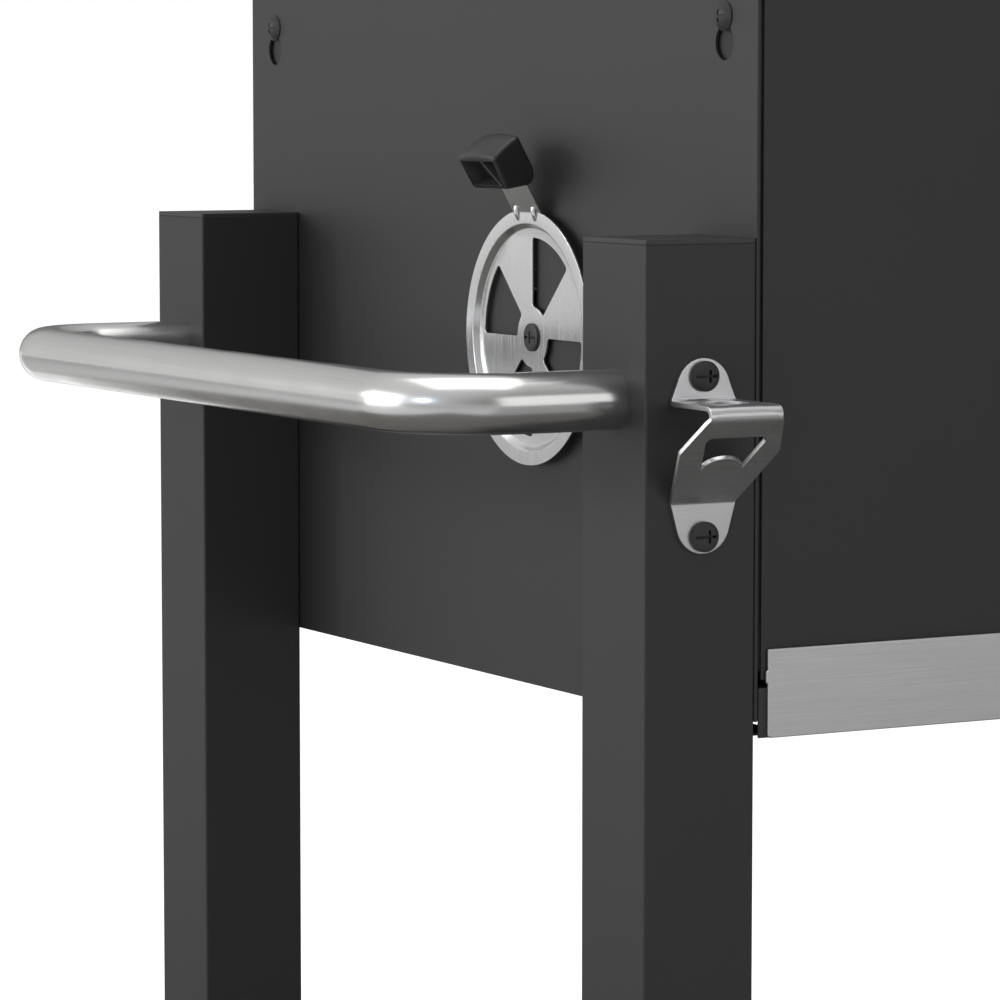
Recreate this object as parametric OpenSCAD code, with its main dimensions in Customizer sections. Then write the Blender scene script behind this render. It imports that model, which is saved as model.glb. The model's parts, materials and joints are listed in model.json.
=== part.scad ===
// Charcoal grill body on four square legs, with a push handle, a vent
// damper on each side, an ash drawer, a bottle opener and two wheels.
// Millimetres. +Z is up, the front faces -Y and the handle side faces -X.
// The origin lies on the ground, under the middle of the whole grill.

/* [Body] */
// Width over the two side panels
body_w = 600; // [520:5:760]
// Depth over the side panels, which is also the depth over the legs
body_d = 459; // [420:1:560]
// Height of the leg tops above the ground
leg_top_z = 690; // [600:5:800]
// How far the side panels reach below the leg tops
panel_drop = 197; // [190:1:230]
// How far the rim stands above the leg tops
rim_rise = 130; // [120:1:180]
// Height of the drawer slot under the front panel
slot_h = 23.1; // [22:0.1:30]
// How far the tub's floor lies above the lower edge of the side panels
tub_floor_rise = 45; // [36:1:60]

/* [Sheet metal] */
// Thickness of the side panels
side_sheet = 1.6; // [1:0.1:2]
// Thickness of the front and back panels
front_sheet = 1.5; // [1:0.1:2]
// Thickness of the firebox tub
tub_sheet = 1.5; // [1:0.1:2.5]
// Thickness of the drawer, pan, rails and shelf
light_sheet = 1.2; // [0.8:0.1:1.6]
// Gap between the tub and the side panels
side_gap = 0.5; // [0.2:0.1:1]
// Gap between the tub and the front and back panels
front_gap = 0.3; // [0.2:0.1:0.8]
// Groove between a side panel and the end of the front panel
groove_w = 1.5; // [1:0.1:2.5]
// Width of the side panel's lower flange, measured inwards
lower_flange_w = 16; // [10:1:20]
// Corner relief of that flange
relief = 6.5; // [4:0.5:8]
// Overhang of the rim over the wall that carries it
rim_sheet = 1.5; // [1:0.1:2.5]

/* [Legs] */
// Outer width of the square tube
leg_w = 50; // [40:1:60]
// Wall of the square tube
leg_wall = 1.5; // [1:0.1:3]
// Outer corner radius of the square tube
leg_corner_r = 1.2; // [0.5:0.1:3]
// Thickness of the caps that close the tubes
cap_t = 2; // [1.5:0.5:4]
// Depth of the plug under a cap
plug_h = 12; // [8:1:20]
// Thickness of the rubber foot pads
foot_t = 8; // [4:1:15]
// How far the wheel legs reach below the axle
leg_below_axle = 30; // [22:1:50]
// How far the upper leg bolts lie below the leg tops
leg_bolt_top_drop = 30; // [24:1:40]
// How far the lower leg bolts lie below the leg tops
leg_bolt_low_drop = 128; // [122:1:135]

/* [Wheels] */
// Outer radius of the tyres
wheel_r = 90; // [75:1:110]
// Radial thickness of the tyres
tyre_t = 14; // [8:1:18]
// Radius of the grooves round a tyre
groove_r = 1; // [0.5:0.1:2]
// Width of the tyres
tyre_w = 36; // [26:1:38]
// Length of the wheel hubs
hub_len = 40; // [39:1:50]
// Outer diameter of the wheel hubs
hub_d = 30; // [22:1:40]
// Radial thickness of the wheel rims
rim_t = 6; // [4:0.5:9]
// Thickness of the wheel webs
web_t = 5; // [3:0.5:8]
// Number of round openings in a wheel web
web_holes = 6; // [3:1:9]
// Material left round those openings
web_margin = 5; // [3:0.5:8]
// Diameter of the axle
axle_d = 10; // [8:1:14]
// Thickness of the washers between leg and hub
washer_t = 2; // [1:0.5:3]
// Outer diameter of those washers
washer_d = 24; // [18:1:30]
// Outer diameter of the cap nuts on the axle
axle_nut_d = 20; // [17:0.5:24]
// Length of the cap nuts on the axle
axle_nut_h = 11; // [8:1:14]

/* [Lower shelf] */
// Height of the top of the lower shelf
shelf_z = 215; // [200:5:300]
// Depth of the shelf's turned down edge
shelf_edge = 25; // [22:1:40]

/* [Screws] */
// Diameter of the frame bolts
bolt_d = 6; // [5:0.5:7]
// Diameter of the heads of the frame bolts
bolt_head_d = 12; // [10:0.5:13]
// Height of the heads of the frame bolts
bolt_head_h = 2.4; // [2:0.1:4]
// Height of the heads that the side panels hang on
hook_head_h = 3.3; // [2.4:0.1:4]
// Width across the flats of the frame nuts
nut_flats = 10; // [9:0.5:11]
// Height of the frame nuts
nut_h = 5; // [4:0.5:6]
// Diameter of the studs on the front and back panels, and of the pull's screws
stud_d = 5; // [4:0.5:6]
// Clearance round a bolt in its hole
hole_gap = 0.25; // [0.1:0.05:0.5]
// Clearance between a bolt and its nut
thread_gap = 0.1; // [0.05:0.01:0.2]
// Length and width of a bar of the cross recess
recess_len = 7; // [5:0.5:8]
// Width of a bar of the cross recess
recess_w = 1.1; // [0.8:0.1:1.6]
// Depth of the cross recess
recess_deep = 1.2; // [0.6:0.1:1.5]

/* [Keyholes] */
// How far the hook screws lie below the rim
hook_drop = 43.5; // [41:0.5:60]
// How far the hook screws lie from the panel's edge
hook_edge = 25; // [20:1:35]
// How far the round end of a keyhole lies below its screw
key_drop = 10.5; // [9:0.5:14]
// Diameter of the round end
key_d = 13.6; // [13:0.1:16]

/* [Handle] */
// Outer diameter of the handle tube
handle_d = 24; // [20:1:28]
// Wall of the handle tube
handle_wall = 1.5; // [1:0.1:3]
// Distance of the grip's axis from the outer faces of the legs
handle_reach = 81.5; // [70:0.5:110]
// Radius of the handle's bends, at the tube's axis
handle_bend_r = 38; // [28:1:50]
// How far the handle's axis lies below the leg tops
handle_drop = 63; // [50:1:75]
// Diameter of the handle bolts
handle_bolt_d = 8; // [6:1:10]
// Diameter of the heads of the handle bolts
handle_head_d = 14; // [12:1:16]
// Length of the threaded plugs in the handle's ends
handle_plug_len = 26; // [20:1:35]

/* [Damper] */
// How far the damper's axis lies in front of the panel's middle
vent_forward = 52.5; // [0:0.5:60]
// How far the damper's axis lies below the leg tops
vent_drop = 47.4; // [40:0.1:60]
// Outer diameter of the damper disc
disc_d = 109.8; // [100:0.2:115]
// Sheet thickness of the damper disc
disc_t = 1; // [0.8:0.1:1.5]
// Depth of the step between the disc's middle and its rim
disc_step = 3.6; // [2:0.1:5]
// Width of the flat rim of the disc
disc_rim_w = 5.6; // [4:0.1:8]
// Radial width of the step
disc_step_w = 2; // [1:0.1:3]
// Outer radius of the openings in the disc
vent_r = 42.7; // [38:0.1:43]
// Inner radius of the openings
vent_hub_r = 13; // [11:0.5:16]
// Angle of each opening in the disc
vent_angle = 45; // [40:1:45]
// How far the panel's openings stay inside the disc's solid parts, in degrees
vent_lap_angle = 2; // [1:0.5:4]
// How far the panel's openings stay inside them radially
vent_lap = 1; // [0.5:0.5:2]
// Running gap on each side of the disc
disc_gap = 0.2; // [0.1:0.05:0.4]
// Diameter of the shoulder that the disc turns on
shoulder_d = 8; // [7.5:0.5:9]
// Running clearance between shoulder and disc
running_gap = 0.05; // [0.02:0.01:0.1]
// Width of the damper's lever
lever_w = 24; // [18:1:25]
// Angle of the lever from the panel
lever_angle = 29; // [20:1:35]
// Length of the lever outside its knob
lever_len = 12.5; // [10:0.5:20]
// How far the lever reaches into its knob
lever_in = 11; // [6:0.5:12]

/* [Damper knob] */
// Width of the knob
knob_w = 30; // [28:1:36]
// Height of the knob's outer face
knob_h = 15; // [13:0.5:20]
// Depth of the knob, away from its outer face
knob_deep = 16; // [15:0.5:20]
// How much higher the knob's inner top edge is
knob_lift = 2; // [0:0.5:4]
// Wall of the knob round its hollow
knob_wall = 1.8; // [1.4:0.1:2.5]
// Depth of the hollow behind the outer face
knob_hollow = 8; // [5:0.5:9]
// Distance of the lever from the knob's outer face
knob_lever = 11.7; // [11:0.1:13]

/* [Bottle opener] */
// Sheet thickness of the opener
opener_t = 2; // [1.5:0.1:2.5]
// How far the opener's upper tip lies below the leg tops
opener_drop = 46; // [40:1:55]
// Height of the opener from tip to tip
opener_h = 76.4; // [70:0.2:90]
// Height of the upper tab
tab_top_h = 16.4; // [15:0.2:20]
// Height of the lower tab
tab_low_h = 20; // [18:0.5:24]
// Half width of the tabs where they leave the folds
tab_half_w = 14.7; // [13:0.1:18]
// Radius of the round tab ends
tab_r = 12; // [10:0.5:13]
// Distance of the upper screw from the upper tip
screw_in_top = 7; // [6.5:0.1:9]
// Distance of the lower screw from the lower tip
screw_in_low = 6.8; // [6.5:0.1:9]
// How far the shelf of the opener reaches out
opener_reach = 40; // [34:1:46]
// Half width of the shelf at its fold
fold_half_w = 16.2; // [15:0.1:20]
// Half width of the front plate at its ears
ear_half_w = 22.5; // [20:0.5:25]
// Diameter of the round hole in the shelf
shelf_hole_d = 20; // [14:1:22]

/* [Ash drawer] */
// Height of the drawer's bright front
strip_h = 35.3; // [32:0.1:45]
// Thickness of the drawer's bright front
strip_t = 1.5; // [1:0.1:2]
// Height of the small tab at each end of the bright front
end_tab_h = 5; // [3:0.5:8]
// How far that tab sticks out
end_tab_w = 0.8; // [0.4:0.1:2]
// Gap between that front and the front panel
strip_gap = 0.3; // [0.2:0.1:0.6]
// How far the bright front stays inside the side panels
strip_inset = 5.3; // [4.5:0.1:8]
// How far the tray's front wall stays inside the side panels
tray_front_inset = 1.9; // [1.9:0.1:4]
// How far that wall ends below the front panel
tray_front_drop = 3.2; // [2:0.1:5]
// Height of the tray
tray_h = 20; // [16:0.5:21]
// Length of the tray behind its front wall
tray_len = 420; // [380:5:435]
// Width of the tray's side lips
tray_lip = 10; // [8:1:14]
// Width of the runners
runner_w = 19; // [17:1:22]
// Gap between the tray's lips and the runners, and beside the tray
tray_gap = 0.3; // [0.2:0.1:0.6]
// Distance between the two ends of the drawer's pull
pull_w = 110; // [80:5:160]
// How far the pull stands out
pull_reach = 24; // [20:1:30]
// Diameter of the pull's rod
pull_d = 8; // [6:0.5:10]

/* [Grates and pan] */
// How far the cooking grates lie below the rim
grate_drop = 35; // [25:1:38]
// Diameter of the frame rods of a cooking grate
grate_frame_d = 8; // [6:0.5:10]
// Diameter of the bars of a cooking grate
grate_bar_d = 5; // [4:0.5:6]
// Number of bars in a cooking grate
grate_bars = 17; // [10:1:20]
// Gap round each cooking grate
grate_gap = 3; // [2:0.5:6]
// Width of the rails that carry the cooking grates
rail_w = 15; // [12:1:20]
// Height of those rails
rail_h = 20; // [15:1:25]
// How far the charcoal pan's rim lies below the grill's rim
pan_drop = 160; // [140:1:170]
// Height of the charcoal pan
pan_h = 60; // [40:1:70]
// Gap between the charcoal pan's wall and the tub
pan_gap = 36; // [30:1:45]
// Width of the pan's rim
pan_rim_w = 12; // [8:1:14]
// Width of the ledge round the opening in the pan's floor
pan_ledge = 20; // [14:1:30]
// Width of the pan's brackets
bracket_w = 40; // [25:1:60]
// Height of the pan's brackets
bracket_h = 30; // [20:1:40]
// Number of bars in the charcoal grate
coal_bars = 25; // [12:1:28]
// Diameter of the charcoal grate's frame rods
coal_rod_d = 6; // [5:0.5:8]
// Diameter of the charcoal grate's bars
coal_bar_d = 5; // [4:0.5:6]
// Width of the border round the ash opening in the tub's floor
ash_border = 50; // [45:1:80]

/* [Hidden] */
$fn = 48;
// Length by which a cut runs past the face that it cuts
overrun = 1;
// Clearance between a plug and the tube that it closes
plug_gap = 0.2;
// Wall of a hollow plug
plug_wall = 2;

// Heights
panel_z = leg_top_z - panel_drop;
rim_z = leg_top_z + rim_rise;
tub_floor_z = panel_z + tub_floor_rise;
front_low_z = panel_z + slot_h;
hook_z = rim_z - hook_drop;
handle_z = leg_top_z - handle_drop;
vent_z = leg_top_z - vent_drop;
rail_z = rim_z - grate_drop;
pan_rim_z = rim_z - pan_drop;
pan_floor_z = pan_rim_z - pan_h;
axle_z = wheel_r;
leg_bolt_z = [leg_top_z - leg_bolt_top_drop, leg_top_z - leg_bolt_low_drop];
shelf_bolt_z = shelf_z - shelf_edge / 2;

// Places across and along the body
side_x = body_w / 2;
front_y = -body_d / 2;
leg_y = body_d / 2 - leg_w / 2;
hook_y = body_d / 2 - hook_edge;
vent_y = -vent_forward;
tub_x = side_x - side_sheet - side_gap;
tub_y = body_d / 2 - front_sheet - front_gap;
tub_in_x = tub_x - tub_sheet;
tub_in_y = tub_y - tub_sheet;
front_half_w = side_x - side_sheet - groove_w;
stud_x = front_half_w / 2;
stud_low_z = tub_floor_z + nut_flats;
stud_high_z = rail_z - rail_h - nut_flats;
stud_len = front_gap + tub_sheet + nut_h;
grip_x = -side_x - leg_w - handle_reach;

// The whole grill reaches from the grip on one side to the tyres on the other
shift_x = (leg_w + handle_reach + handle_d / 2 - leg_w / 2 - wheel_r) / 2;

// Moves a child from the body's middle to the grill's middle
module in_row() {
    translate([shift_x, 0, 0]) children();
}

// Side frame: x is 0 on the left panel's outer face and grows inwards
module left_side() {
    translate([-side_x, 0, 0]) children();
}

module right_side() {
    mirror([1, 0, 0]) left_side() children();
}

module both_sides() {
    left_side() children();
    right_side() children();
}

// Repeats a child at the front and, mirrored, at the back
module front_and_back() {
    children();
    mirror([0, 1, 0]) children();
}

// Turns a flat drawing to the left side, as seen from outside, and up from it
module face_left() {
    rotate([90, 0, -90]) children();
}

// Turns a flat drawing to the front, as seen from outside, and up from it
module face_front() {
    rotate([90, 0, 0]) children();
}

// Rectangle with round corners, standing on the middle of its lower edge
module round_rect(w, h, r) {
    translate([-w / 2 + r, 0]) square([w - 2 * r, h]);
    translate([-w / 2, r]) square([w, h - 2 * r]);
    for (sx = [-1, 1]) {
        translate([sx * (w / 2 - r), r]) circle(r);
        translate([sx * (w / 2 - r), h - r]) circle(r);
    }
}

// Round hole along z through a wall that starts at z = 0
module wall_hole(d, wall) {
    translate([0, 0, -overrun]) cylinder(d = d, h = wall + 2 * overrun);
}

// Bolt along +z, with its head below z = 0 and a cross recess in the head
module bolt(d, len, head_d, head_h) {
    cylinder(d = d, h = len);
    difference() {
        translate([0, 0, -head_h]) cylinder(d = head_d, h = head_h);
        for (turn = [0, 90])
            rotate([0, 0, turn])
                translate([-recess_len / 2, -recess_w / 2, -head_h - overrun])
                    cube([recess_len, recess_w, recess_deep + overrun]);
    }
}

// Hexagon nut on z = 0, reaching up
module hex_nut(d, flats, h) {
    difference() {
        cylinder(d = flats / cos(30), h = h, $fn = 6);
        wall_hole(d + 2 * thread_gap, h);
    }
}

// Square tube of a leg, in the side frame, from a height up to the cap
module leg_tube(bottom_z) {
    difference() {
        translate([-leg_w / 2, -leg_w / 2, bottom_z])
            linear_extrude(leg_top_z - cap_t - bottom_z)
                round_rect(leg_w, leg_w, leg_corner_r);
        translate([-leg_w + leg_wall, -leg_w / 2 + leg_wall, bottom_z - overrun])
            cube([leg_w - 2 * leg_wall, leg_w - 2 * leg_wall, leg_top_z]);
        for (z = leg_bolt_z)
            leg_side_hole(z, bolt_d);
        leg_side_hole(shelf_bolt_z, bolt_d);
    }
}

// Hole through the inner wall of a leg
module leg_side_hole(z, d) {
    translate([-leg_wall, 0, z]) rotate([0, 90, 0]) wall_hole(d + 2 * hole_gap, leg_wall);
}

// Holes for the handle bolt through both walls of a leg
module leg_handle_hole() {
    translate([-leg_w, 0, handle_z]) rotate([0, 90, 0])
        wall_hole(handle_bolt_d + 2 * hole_gap, leg_w);
}

// Holes for the axle through both walls of a leg
module leg_axle_hole() {
    translate([-leg_w / 2, leg_w / 2, axle_z]) rotate([90, 0, 0])
        wall_hole(axle_d + 2 * thread_gap, leg_w);
}

module leg_front_left() {
    color("dimgray") in_row() left_side() translate([0, -leg_y, 0]) difference() {
        leg_tube(foot_t);
        leg_handle_hole();
        for (z = opener_screw_z)
            translate([-leg_w / 2, -leg_w / 2, z]) rotate([-90, 0, 0])
                wall_hole(bolt_d + 2 * hole_gap, leg_wall);
    }
}

module leg_rear_left() {
    color("dimgray") in_row() left_side() translate([0, leg_y, 0]) difference() {
        leg_tube(foot_t);
        leg_handle_hole();
    }
}

module wheel_leg() {
    difference() {
        leg_tube(axle_z - leg_below_axle);
        leg_axle_hole();
    }
}

module leg_front_right() {
    color("dimgray") in_row() right_side() translate([0, -leg_y, 0]) wheel_leg();
}

module leg_rear_right() {
    color("dimgray") in_row() right_side() translate([0, leg_y, 0]) wheel_leg();
}

// Hollow plug that fits inside a leg, under a plate of thickness t
module tube_plug(t) {
    inside = leg_w - 2 * leg_wall - 2 * plug_gap;
    translate([-leg_w / 2, -leg_w / 2, 0]) linear_extrude(t)
        round_rect(leg_w, leg_w, leg_corner_r);
    translate([-leg_w / 2 - inside / 2, -inside / 2, -plug_h]) difference() {
        cube([inside, inside, plug_h]);
        translate([plug_wall, plug_wall, -overrun])
            cube([inside - 2 * plug_wall, inside - 2 * plug_wall, plug_h + overrun]);
    }
}

module leg_caps() {
    color("dimgray") in_row() both_sides() front_and_back()
        translate([0, leg_y, leg_top_z - cap_t]) tube_plug(cap_t);
}

module leg_bottom_caps() {
    color("dimgray") in_row() right_side() front_and_back()
        translate([0, leg_y, axle_z - leg_below_axle]) mirror([0, 0, 1]) tube_plug(cap_t);
}

module foot_pads() {
    color("black") in_row() left_side() front_and_back()
        translate([0, leg_y, foot_t]) mirror([0, 0, 1]) tube_plug(foot_t);
}

// Places along the axle, counted outwards from a leg's outer face
hub_start = washer_t + disc_gap;
axle_half_len = body_d / 2 + hub_start + hub_len + disc_gap + axle_nut_h / 2;

module on_axle(out) {
    in_row() translate([side_x + leg_w / 2, front_y - out, axle_z]) rotate([90, 0, 0]) children();
}

module axle() {
    color("silver") in_row() translate([side_x + leg_w / 2, axle_half_len, axle_z])
        rotate([90, 0, 0]) cylinder(d = axle_d, h = 2 * axle_half_len);
}

module axle_washers() {
    color("silver") front_and_back() on_axle(0) difference() {
        cylinder(d = washer_d, h = washer_t);
        wall_hole(axle_d + 2 * thread_gap, washer_t);
    }
}

// Blind cap nut: its bore takes half of the nut's length
module axle_nuts() {
    color("silver") front_and_back() on_axle(hub_start + hub_len + disc_gap) difference() {
        union() {
            cylinder(d = axle_nut_d, h = axle_nut_h / 2);
            cylinder(d = (axle_nut_d + axle_d) / 2, h = axle_nut_h);
        }
        translate([0, 0, -overrun])
            cylinder(d = axle_d + 2 * thread_gap, h = axle_nut_h / 2 + overrun + thread_gap);
    }
}

// Wheel without its tyre, with its inner hub face at z = 0
module wheel() {
    rim_r = wheel_r - tyre_t;
    mid = hub_len / 2;
    hole_ring_r = (rim_r - rim_t + hub_d / 2) / 2;
    hole_r = min((rim_r - rim_t - hub_d / 2) / 2, hole_ring_r * sin(180 / web_holes))
        - web_margin;
    difference() {
        union() {
            cylinder(d = hub_d, h = hub_len);
            translate([0, 0, mid - web_t / 2]) cylinder(r = rim_r - rim_t / 2, h = web_t);
            translate([0, 0, mid - tyre_w / 2]) difference() {
                cylinder(r = rim_r, h = tyre_w);
                wall_hole(2 * (rim_r - rim_t), tyre_w);
            }
        }
        wall_hole(axle_d + 2 * running_gap, hub_len);
        for (i = [0 : web_holes - 1])
            rotate([0, 0, i * 360 / web_holes])
                translate([hole_ring_r, 0, mid - web_t / 2]) wall_hole(2 * hole_r, web_t);
    }
}

// Number of grooves round a tyre
tyre_grooves = 3;

// Tyre with a flat tread and round shoulders
module tyre() {
    rim_r = wheel_r - tyre_t;
    shoulder = tyre_t / 2;
    groove_step = (tyre_w - 2 * shoulder) / tyre_grooves;
    translate([0, 0, hub_len / 2]) rotate_extrude() difference() {
        translate([rim_r, -tyre_w / 2]) union() {
            square([tyre_t - shoulder, tyre_w]);
            translate([0, shoulder]) square([tyre_t, tyre_w - 2 * shoulder]);
            for (z = [shoulder, tyre_w - shoulder])
                translate([tyre_t - shoulder, z]) circle(shoulder);
        }
        for (i = [1 : tyre_grooves])
            translate([wheel_r, (i - (tyre_grooves + 1) / 2) * groove_step]) circle(groove_r);
    }
}

module wheel_front() {
    color("dimgray") on_axle(hub_start) wheel();
}

module wheel_rear() {
    color("dimgray") mirror([0, 1, 0]) on_axle(hub_start) wheel();
}

module tyre_front() {
    color("black") on_axle(hub_start) tyre();
}

module tyre_rear() {
    color("black") mirror([0, 1, 0]) on_axle(hub_start) tyre();
}

// Flat sheet of the lower shelf, which lies on four bars
module bottom_shelf() {
    color("dimgray") in_row() translate([-side_x, front_y, shelf_z - light_sheet])
        cube([body_w, body_d, light_sheet]);
}

// Flat bars under the front and back edges of the shelf
module shelf_cross_bars() {
    color("dimgray") in_row() front_and_back()
        translate([light_sheet - side_x, -front_y - light_sheet, shelf_z - shelf_edge])
            cube([body_w - 2 * light_sheet, light_sheet, shelf_edge - light_sheet]);
}

// Flat bars under the ends of the shelf, bolted to the legs
module shelf_end_bars() {
    color("dimgray") in_row() both_sides() difference() {
        translate([0, front_y, shelf_z - shelf_edge])
            cube([light_sheet, body_d, shelf_edge - light_sheet]);
        front_and_back() translate([0, leg_y, shelf_bolt_z]) rotate([0, 90, 0])
            wall_hole(bolt_d + 2 * hole_gap, light_sheet);
    }
}

// Bolts and nuts that join a sheet of thickness t, lying at depth x, to a leg
module bolt_to_leg(x, z) {
    translate([x, leg_y, z]) rotate([0, -90, 0])
        bolt(bolt_d, x + leg_wall + nut_h, bolt_head_d, bolt_head_h);
}

module nut_in_leg(z) {
    translate([-leg_wall, leg_y, z]) rotate([0, -90, 0]) hex_nut(bolt_d, nut_flats, nut_h);
}

module shelf_bolts() {
    color("gray") in_row() both_sides() front_and_back() bolt_to_leg(light_sheet, shelf_bolt_z);
}

module shelf_nuts() {
    color("silver") in_row() both_sides() front_and_back() nut_in_leg(shelf_bolt_z);
}

module leg_bolts() {
    color("gray") in_row() both_sides() front_and_back()
        for (z = leg_bolt_z)
            bolt_to_leg(side_x - tub_in_x, z);
}

module leg_nuts() {
    color("silver") in_row() both_sides() front_and_back()
        for (z = leg_bolt_z)
            nut_in_leg(z);
}

// Wedge from straight up, clockwise, for an angle of at most 90 degrees
module wedge(start, angle, r) {
    rotate([0, 0, -start])
        polygon([[0, 0], [0, 2 * r], [2 * r * sin(angle / 2), 2 * r * cos(angle / 2)],
            [2 * r * sin(angle), 2 * r * cos(angle)]]);
}

// Four openings round the damper's axis, seen from outside
module vent_openings(start, angle, r_in, r_out) {
    for (turn = [0 : 90 : 270])
        intersection() {
            difference() {
                circle(r_out);
                circle(r_in);
            }
            wedge(start + turn, angle, r_out);
        }
}

// Openings of a side panel and of the tub behind it, from depth x for a wall
module side_vents(x, wall) {
    translate([x, vent_y, vent_z]) mirror([1, 0, 0]) face_left_in(wall)
        vent_openings(vent_angle + vent_lap_angle, 90 - vent_angle - 2 * vent_lap_angle,
            vent_hub_r + vent_lap, vent_r - vent_lap);
}

// Cuts a drawing seen from outside through a wall, starting in front of it
module face_left_in(wall) {
    translate([-wall - overrun, 0, 0]) mirror([1, 0, 0]) face_left()
        linear_extrude(wall + 2 * overrun) children();
}

// Hole along x through a wall that starts at depth x
module side_hole(x, y, z, d, wall) {
    translate([x, y, z]) rotate([0, 90, 0]) wall_hole(d, wall);
}

// Side panel in the side frame, with keyholes and vent openings
module side_panel() {
    difference() {
        union() {
            translate([0, front_y, panel_z]) cube([side_sheet, body_d, rim_z - panel_z]);
            translate([0, front_y + relief, panel_z])
                cube([side_sheet + lower_flange_w, body_d - 2 * relief, light_sheet]);
        }
        front_and_back() {
            translate([-overrun, front_y - overrun, panel_z - overrun])
                cube([side_sheet + 2 * overrun, relief + overrun, relief + overrun]);
            translate([0, hook_y, 0]) keyhole();
            for (z = leg_bolt_z)
                side_hole(0, leg_y, z, bolt_d + 2 * hole_gap, side_sheet);
        }
        side_hole(0, vent_y, vent_z, bolt_d + 2 * hole_gap, side_sheet);
        side_vents(0, side_sheet);
    }
}

// Keyhole: a round end below and a slot up to the screw that it hangs on
module keyhole() {
    slot_w = bolt_d + 2 * hole_gap;
    side_hole(0, 0, hook_z - key_drop, key_d, side_sheet);
    side_hole(0, 0, hook_z, slot_w, side_sheet);
    translate([-overrun, -slot_w / 2, hook_z - key_drop])
        cube([side_sheet + 2 * overrun, slot_w, key_drop]);
}

module side_panel_left() {
    color("dimgray") in_row() left_side() difference() {
        side_panel();
        front_and_back()
            side_hole(0, leg_y, handle_z, handle_bolt_d + 2 * hole_gap, side_sheet);
    }
}

module side_panel_right() {
    color("dimgray") in_row() right_side() side_panel();
}

// Plain sheet with four studs that pass through the tub's wall
module cladding(low_z) {
    translate([-front_half_w, front_y, low_z])
        cube([2 * front_half_w, front_sheet, rim_z - low_z]);
    for (sx = [-1, 1], z = [stud_low_z, stud_high_z])
        translate([sx * stud_x, front_y + front_sheet, z]) rotate([-90, 0, 0])
            cylinder(d = stud_d, h = stud_len);
}

module front_panel() {
    color("dimgray") in_row() cladding(front_low_z);
}

module back_panel() {
    color("dimgray") in_row() mirror([0, 1, 0]) cladding(panel_z);
}

module panel_nuts() {
    color("silver") in_row() front_and_back()
        for (sx = [-1, 1], z = [stud_low_z, stud_high_z])
            translate([sx * stud_x, -tub_in_y, z]) rotate([-90, 0, 0])
                hex_nut(stud_d, nut_flats, nut_h);
}

// Open box with a rim over the panels, an ash opening and holes for what it carries
module firebox_tub() {
    tub_depth = side_x - tub_x;
    color("dimgray") in_row() difference() {
        union() {
            translate([-tub_x, -tub_y, tub_floor_z])
                cube([2 * tub_x, 2 * tub_y, rim_z + rim_sheet - tub_floor_z]);
            translate([-side_x, front_y, rim_z]) cube([body_w, body_d, rim_sheet]);
        }
        translate([-tub_in_x, -tub_in_y, tub_floor_z + tub_sheet])
            cube([2 * tub_in_x, 2 * tub_in_y, rim_z]);
        translate([-tub_in_x + ash_border, -tub_in_y + ash_border, tub_floor_z - overrun])
            cube([2 * (tub_in_x - ash_border), 2 * (tub_in_y - ash_border),
                tub_sheet + 2 * overrun]);
        both_sides() {
            front_and_back() {
                for (z = leg_bolt_z)
                    side_hole(tub_depth, leg_y, z, bolt_d + 2 * hole_gap, tub_sheet);
                side_hole(tub_depth, hook_y, hook_z, bolt_d + 2 * hole_gap, tub_sheet);
            }
            side_hole(tub_depth, vent_y, vent_z, bolt_d + 2 * hole_gap, tub_sheet);
            side_vents(tub_depth, tub_sheet);
        }
        left_side() front_and_back()
            side_hole(tub_depth, leg_y, handle_z, handle_bolt_d + 2 * hole_gap, tub_sheet);
        front_and_back()
            for (sx = [-1, 1], z = [stud_low_z, stud_high_z])
                translate([sx * stud_x, -tub_y, z]) rotate([-90, 0, 0])
                    wall_hole(stud_d + 2 * hole_gap, tub_sheet);
    }
}

// Screws that the side panels hang on
module hook_screws() {
    color("dimgray") in_row() both_sides() front_and_back()
        translate([0, hook_y, hook_z]) rotate([0, 90, 0])
            bolt(bolt_d, side_x - tub_in_x + nut_h, bolt_head_d, hook_head_h);
}

module hook_nuts() {
    color("silver") in_row() both_sides() front_and_back()
        translate([side_x - tub_in_x, hook_y, hook_z]) rotate([0, 90, 0])
            hex_nut(bolt_d, nut_flats, nut_h);
}

// One half of the handle, from a leg to the middle of the grip
module handle_half(d) {
    translate([grip_x + handle_bend_r, -leg_y, handle_z]) rotate([0, 90, 0])
        cylinder(d = d, h = -side_x - leg_w - grip_x - handle_bend_r);
    translate([grip_x + handle_bend_r, -leg_y + handle_bend_r, handle_z])
        rotate([0, 0, 180]) rotate_extrude(angle = 90) translate([handle_bend_r, 0]) circle(d = d);
    translate([grip_x, -leg_y + handle_bend_r, handle_z]) rotate([-90, 0, 0])
        cylinder(d = d, h = leg_y - handle_bend_r);
}

module handle_tube() {
    color("silver") in_row() difference() {
        front_and_back() handle_half(handle_d);
        front_and_back() handle_half(handle_d - 2 * handle_wall);
        front_and_back() translate([-side_x - leg_w, -leg_y, handle_z]) rotate([0, 90, 0])
            translate([0, 0, -handle_wall]) cylinder(d = handle_d - 2 * handle_wall,
                h = handle_wall + overrun);
    }
}

module handle_plugs() {
    color("gray") in_row() left_side() front_and_back()
        translate([-leg_w, leg_y, handle_z]) rotate([0, -90, 0]) difference() {
            cylinder(d = handle_d - 2 * handle_wall - 2 * thread_gap, h = handle_plug_len);
            wall_hole(handle_bolt_d + 2 * thread_gap, handle_plug_len);
        }
}

module handle_bolts() {
    reach = side_x - tub_in_x + leg_w + handle_plug_len;
    color("gray") in_row() left_side() front_and_back()
        translate([side_x - tub_in_x, leg_y, handle_z]) rotate([0, -90, 0])
            bolt(handle_bolt_d, reach, handle_head_d, bolt_head_h);
}

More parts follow.
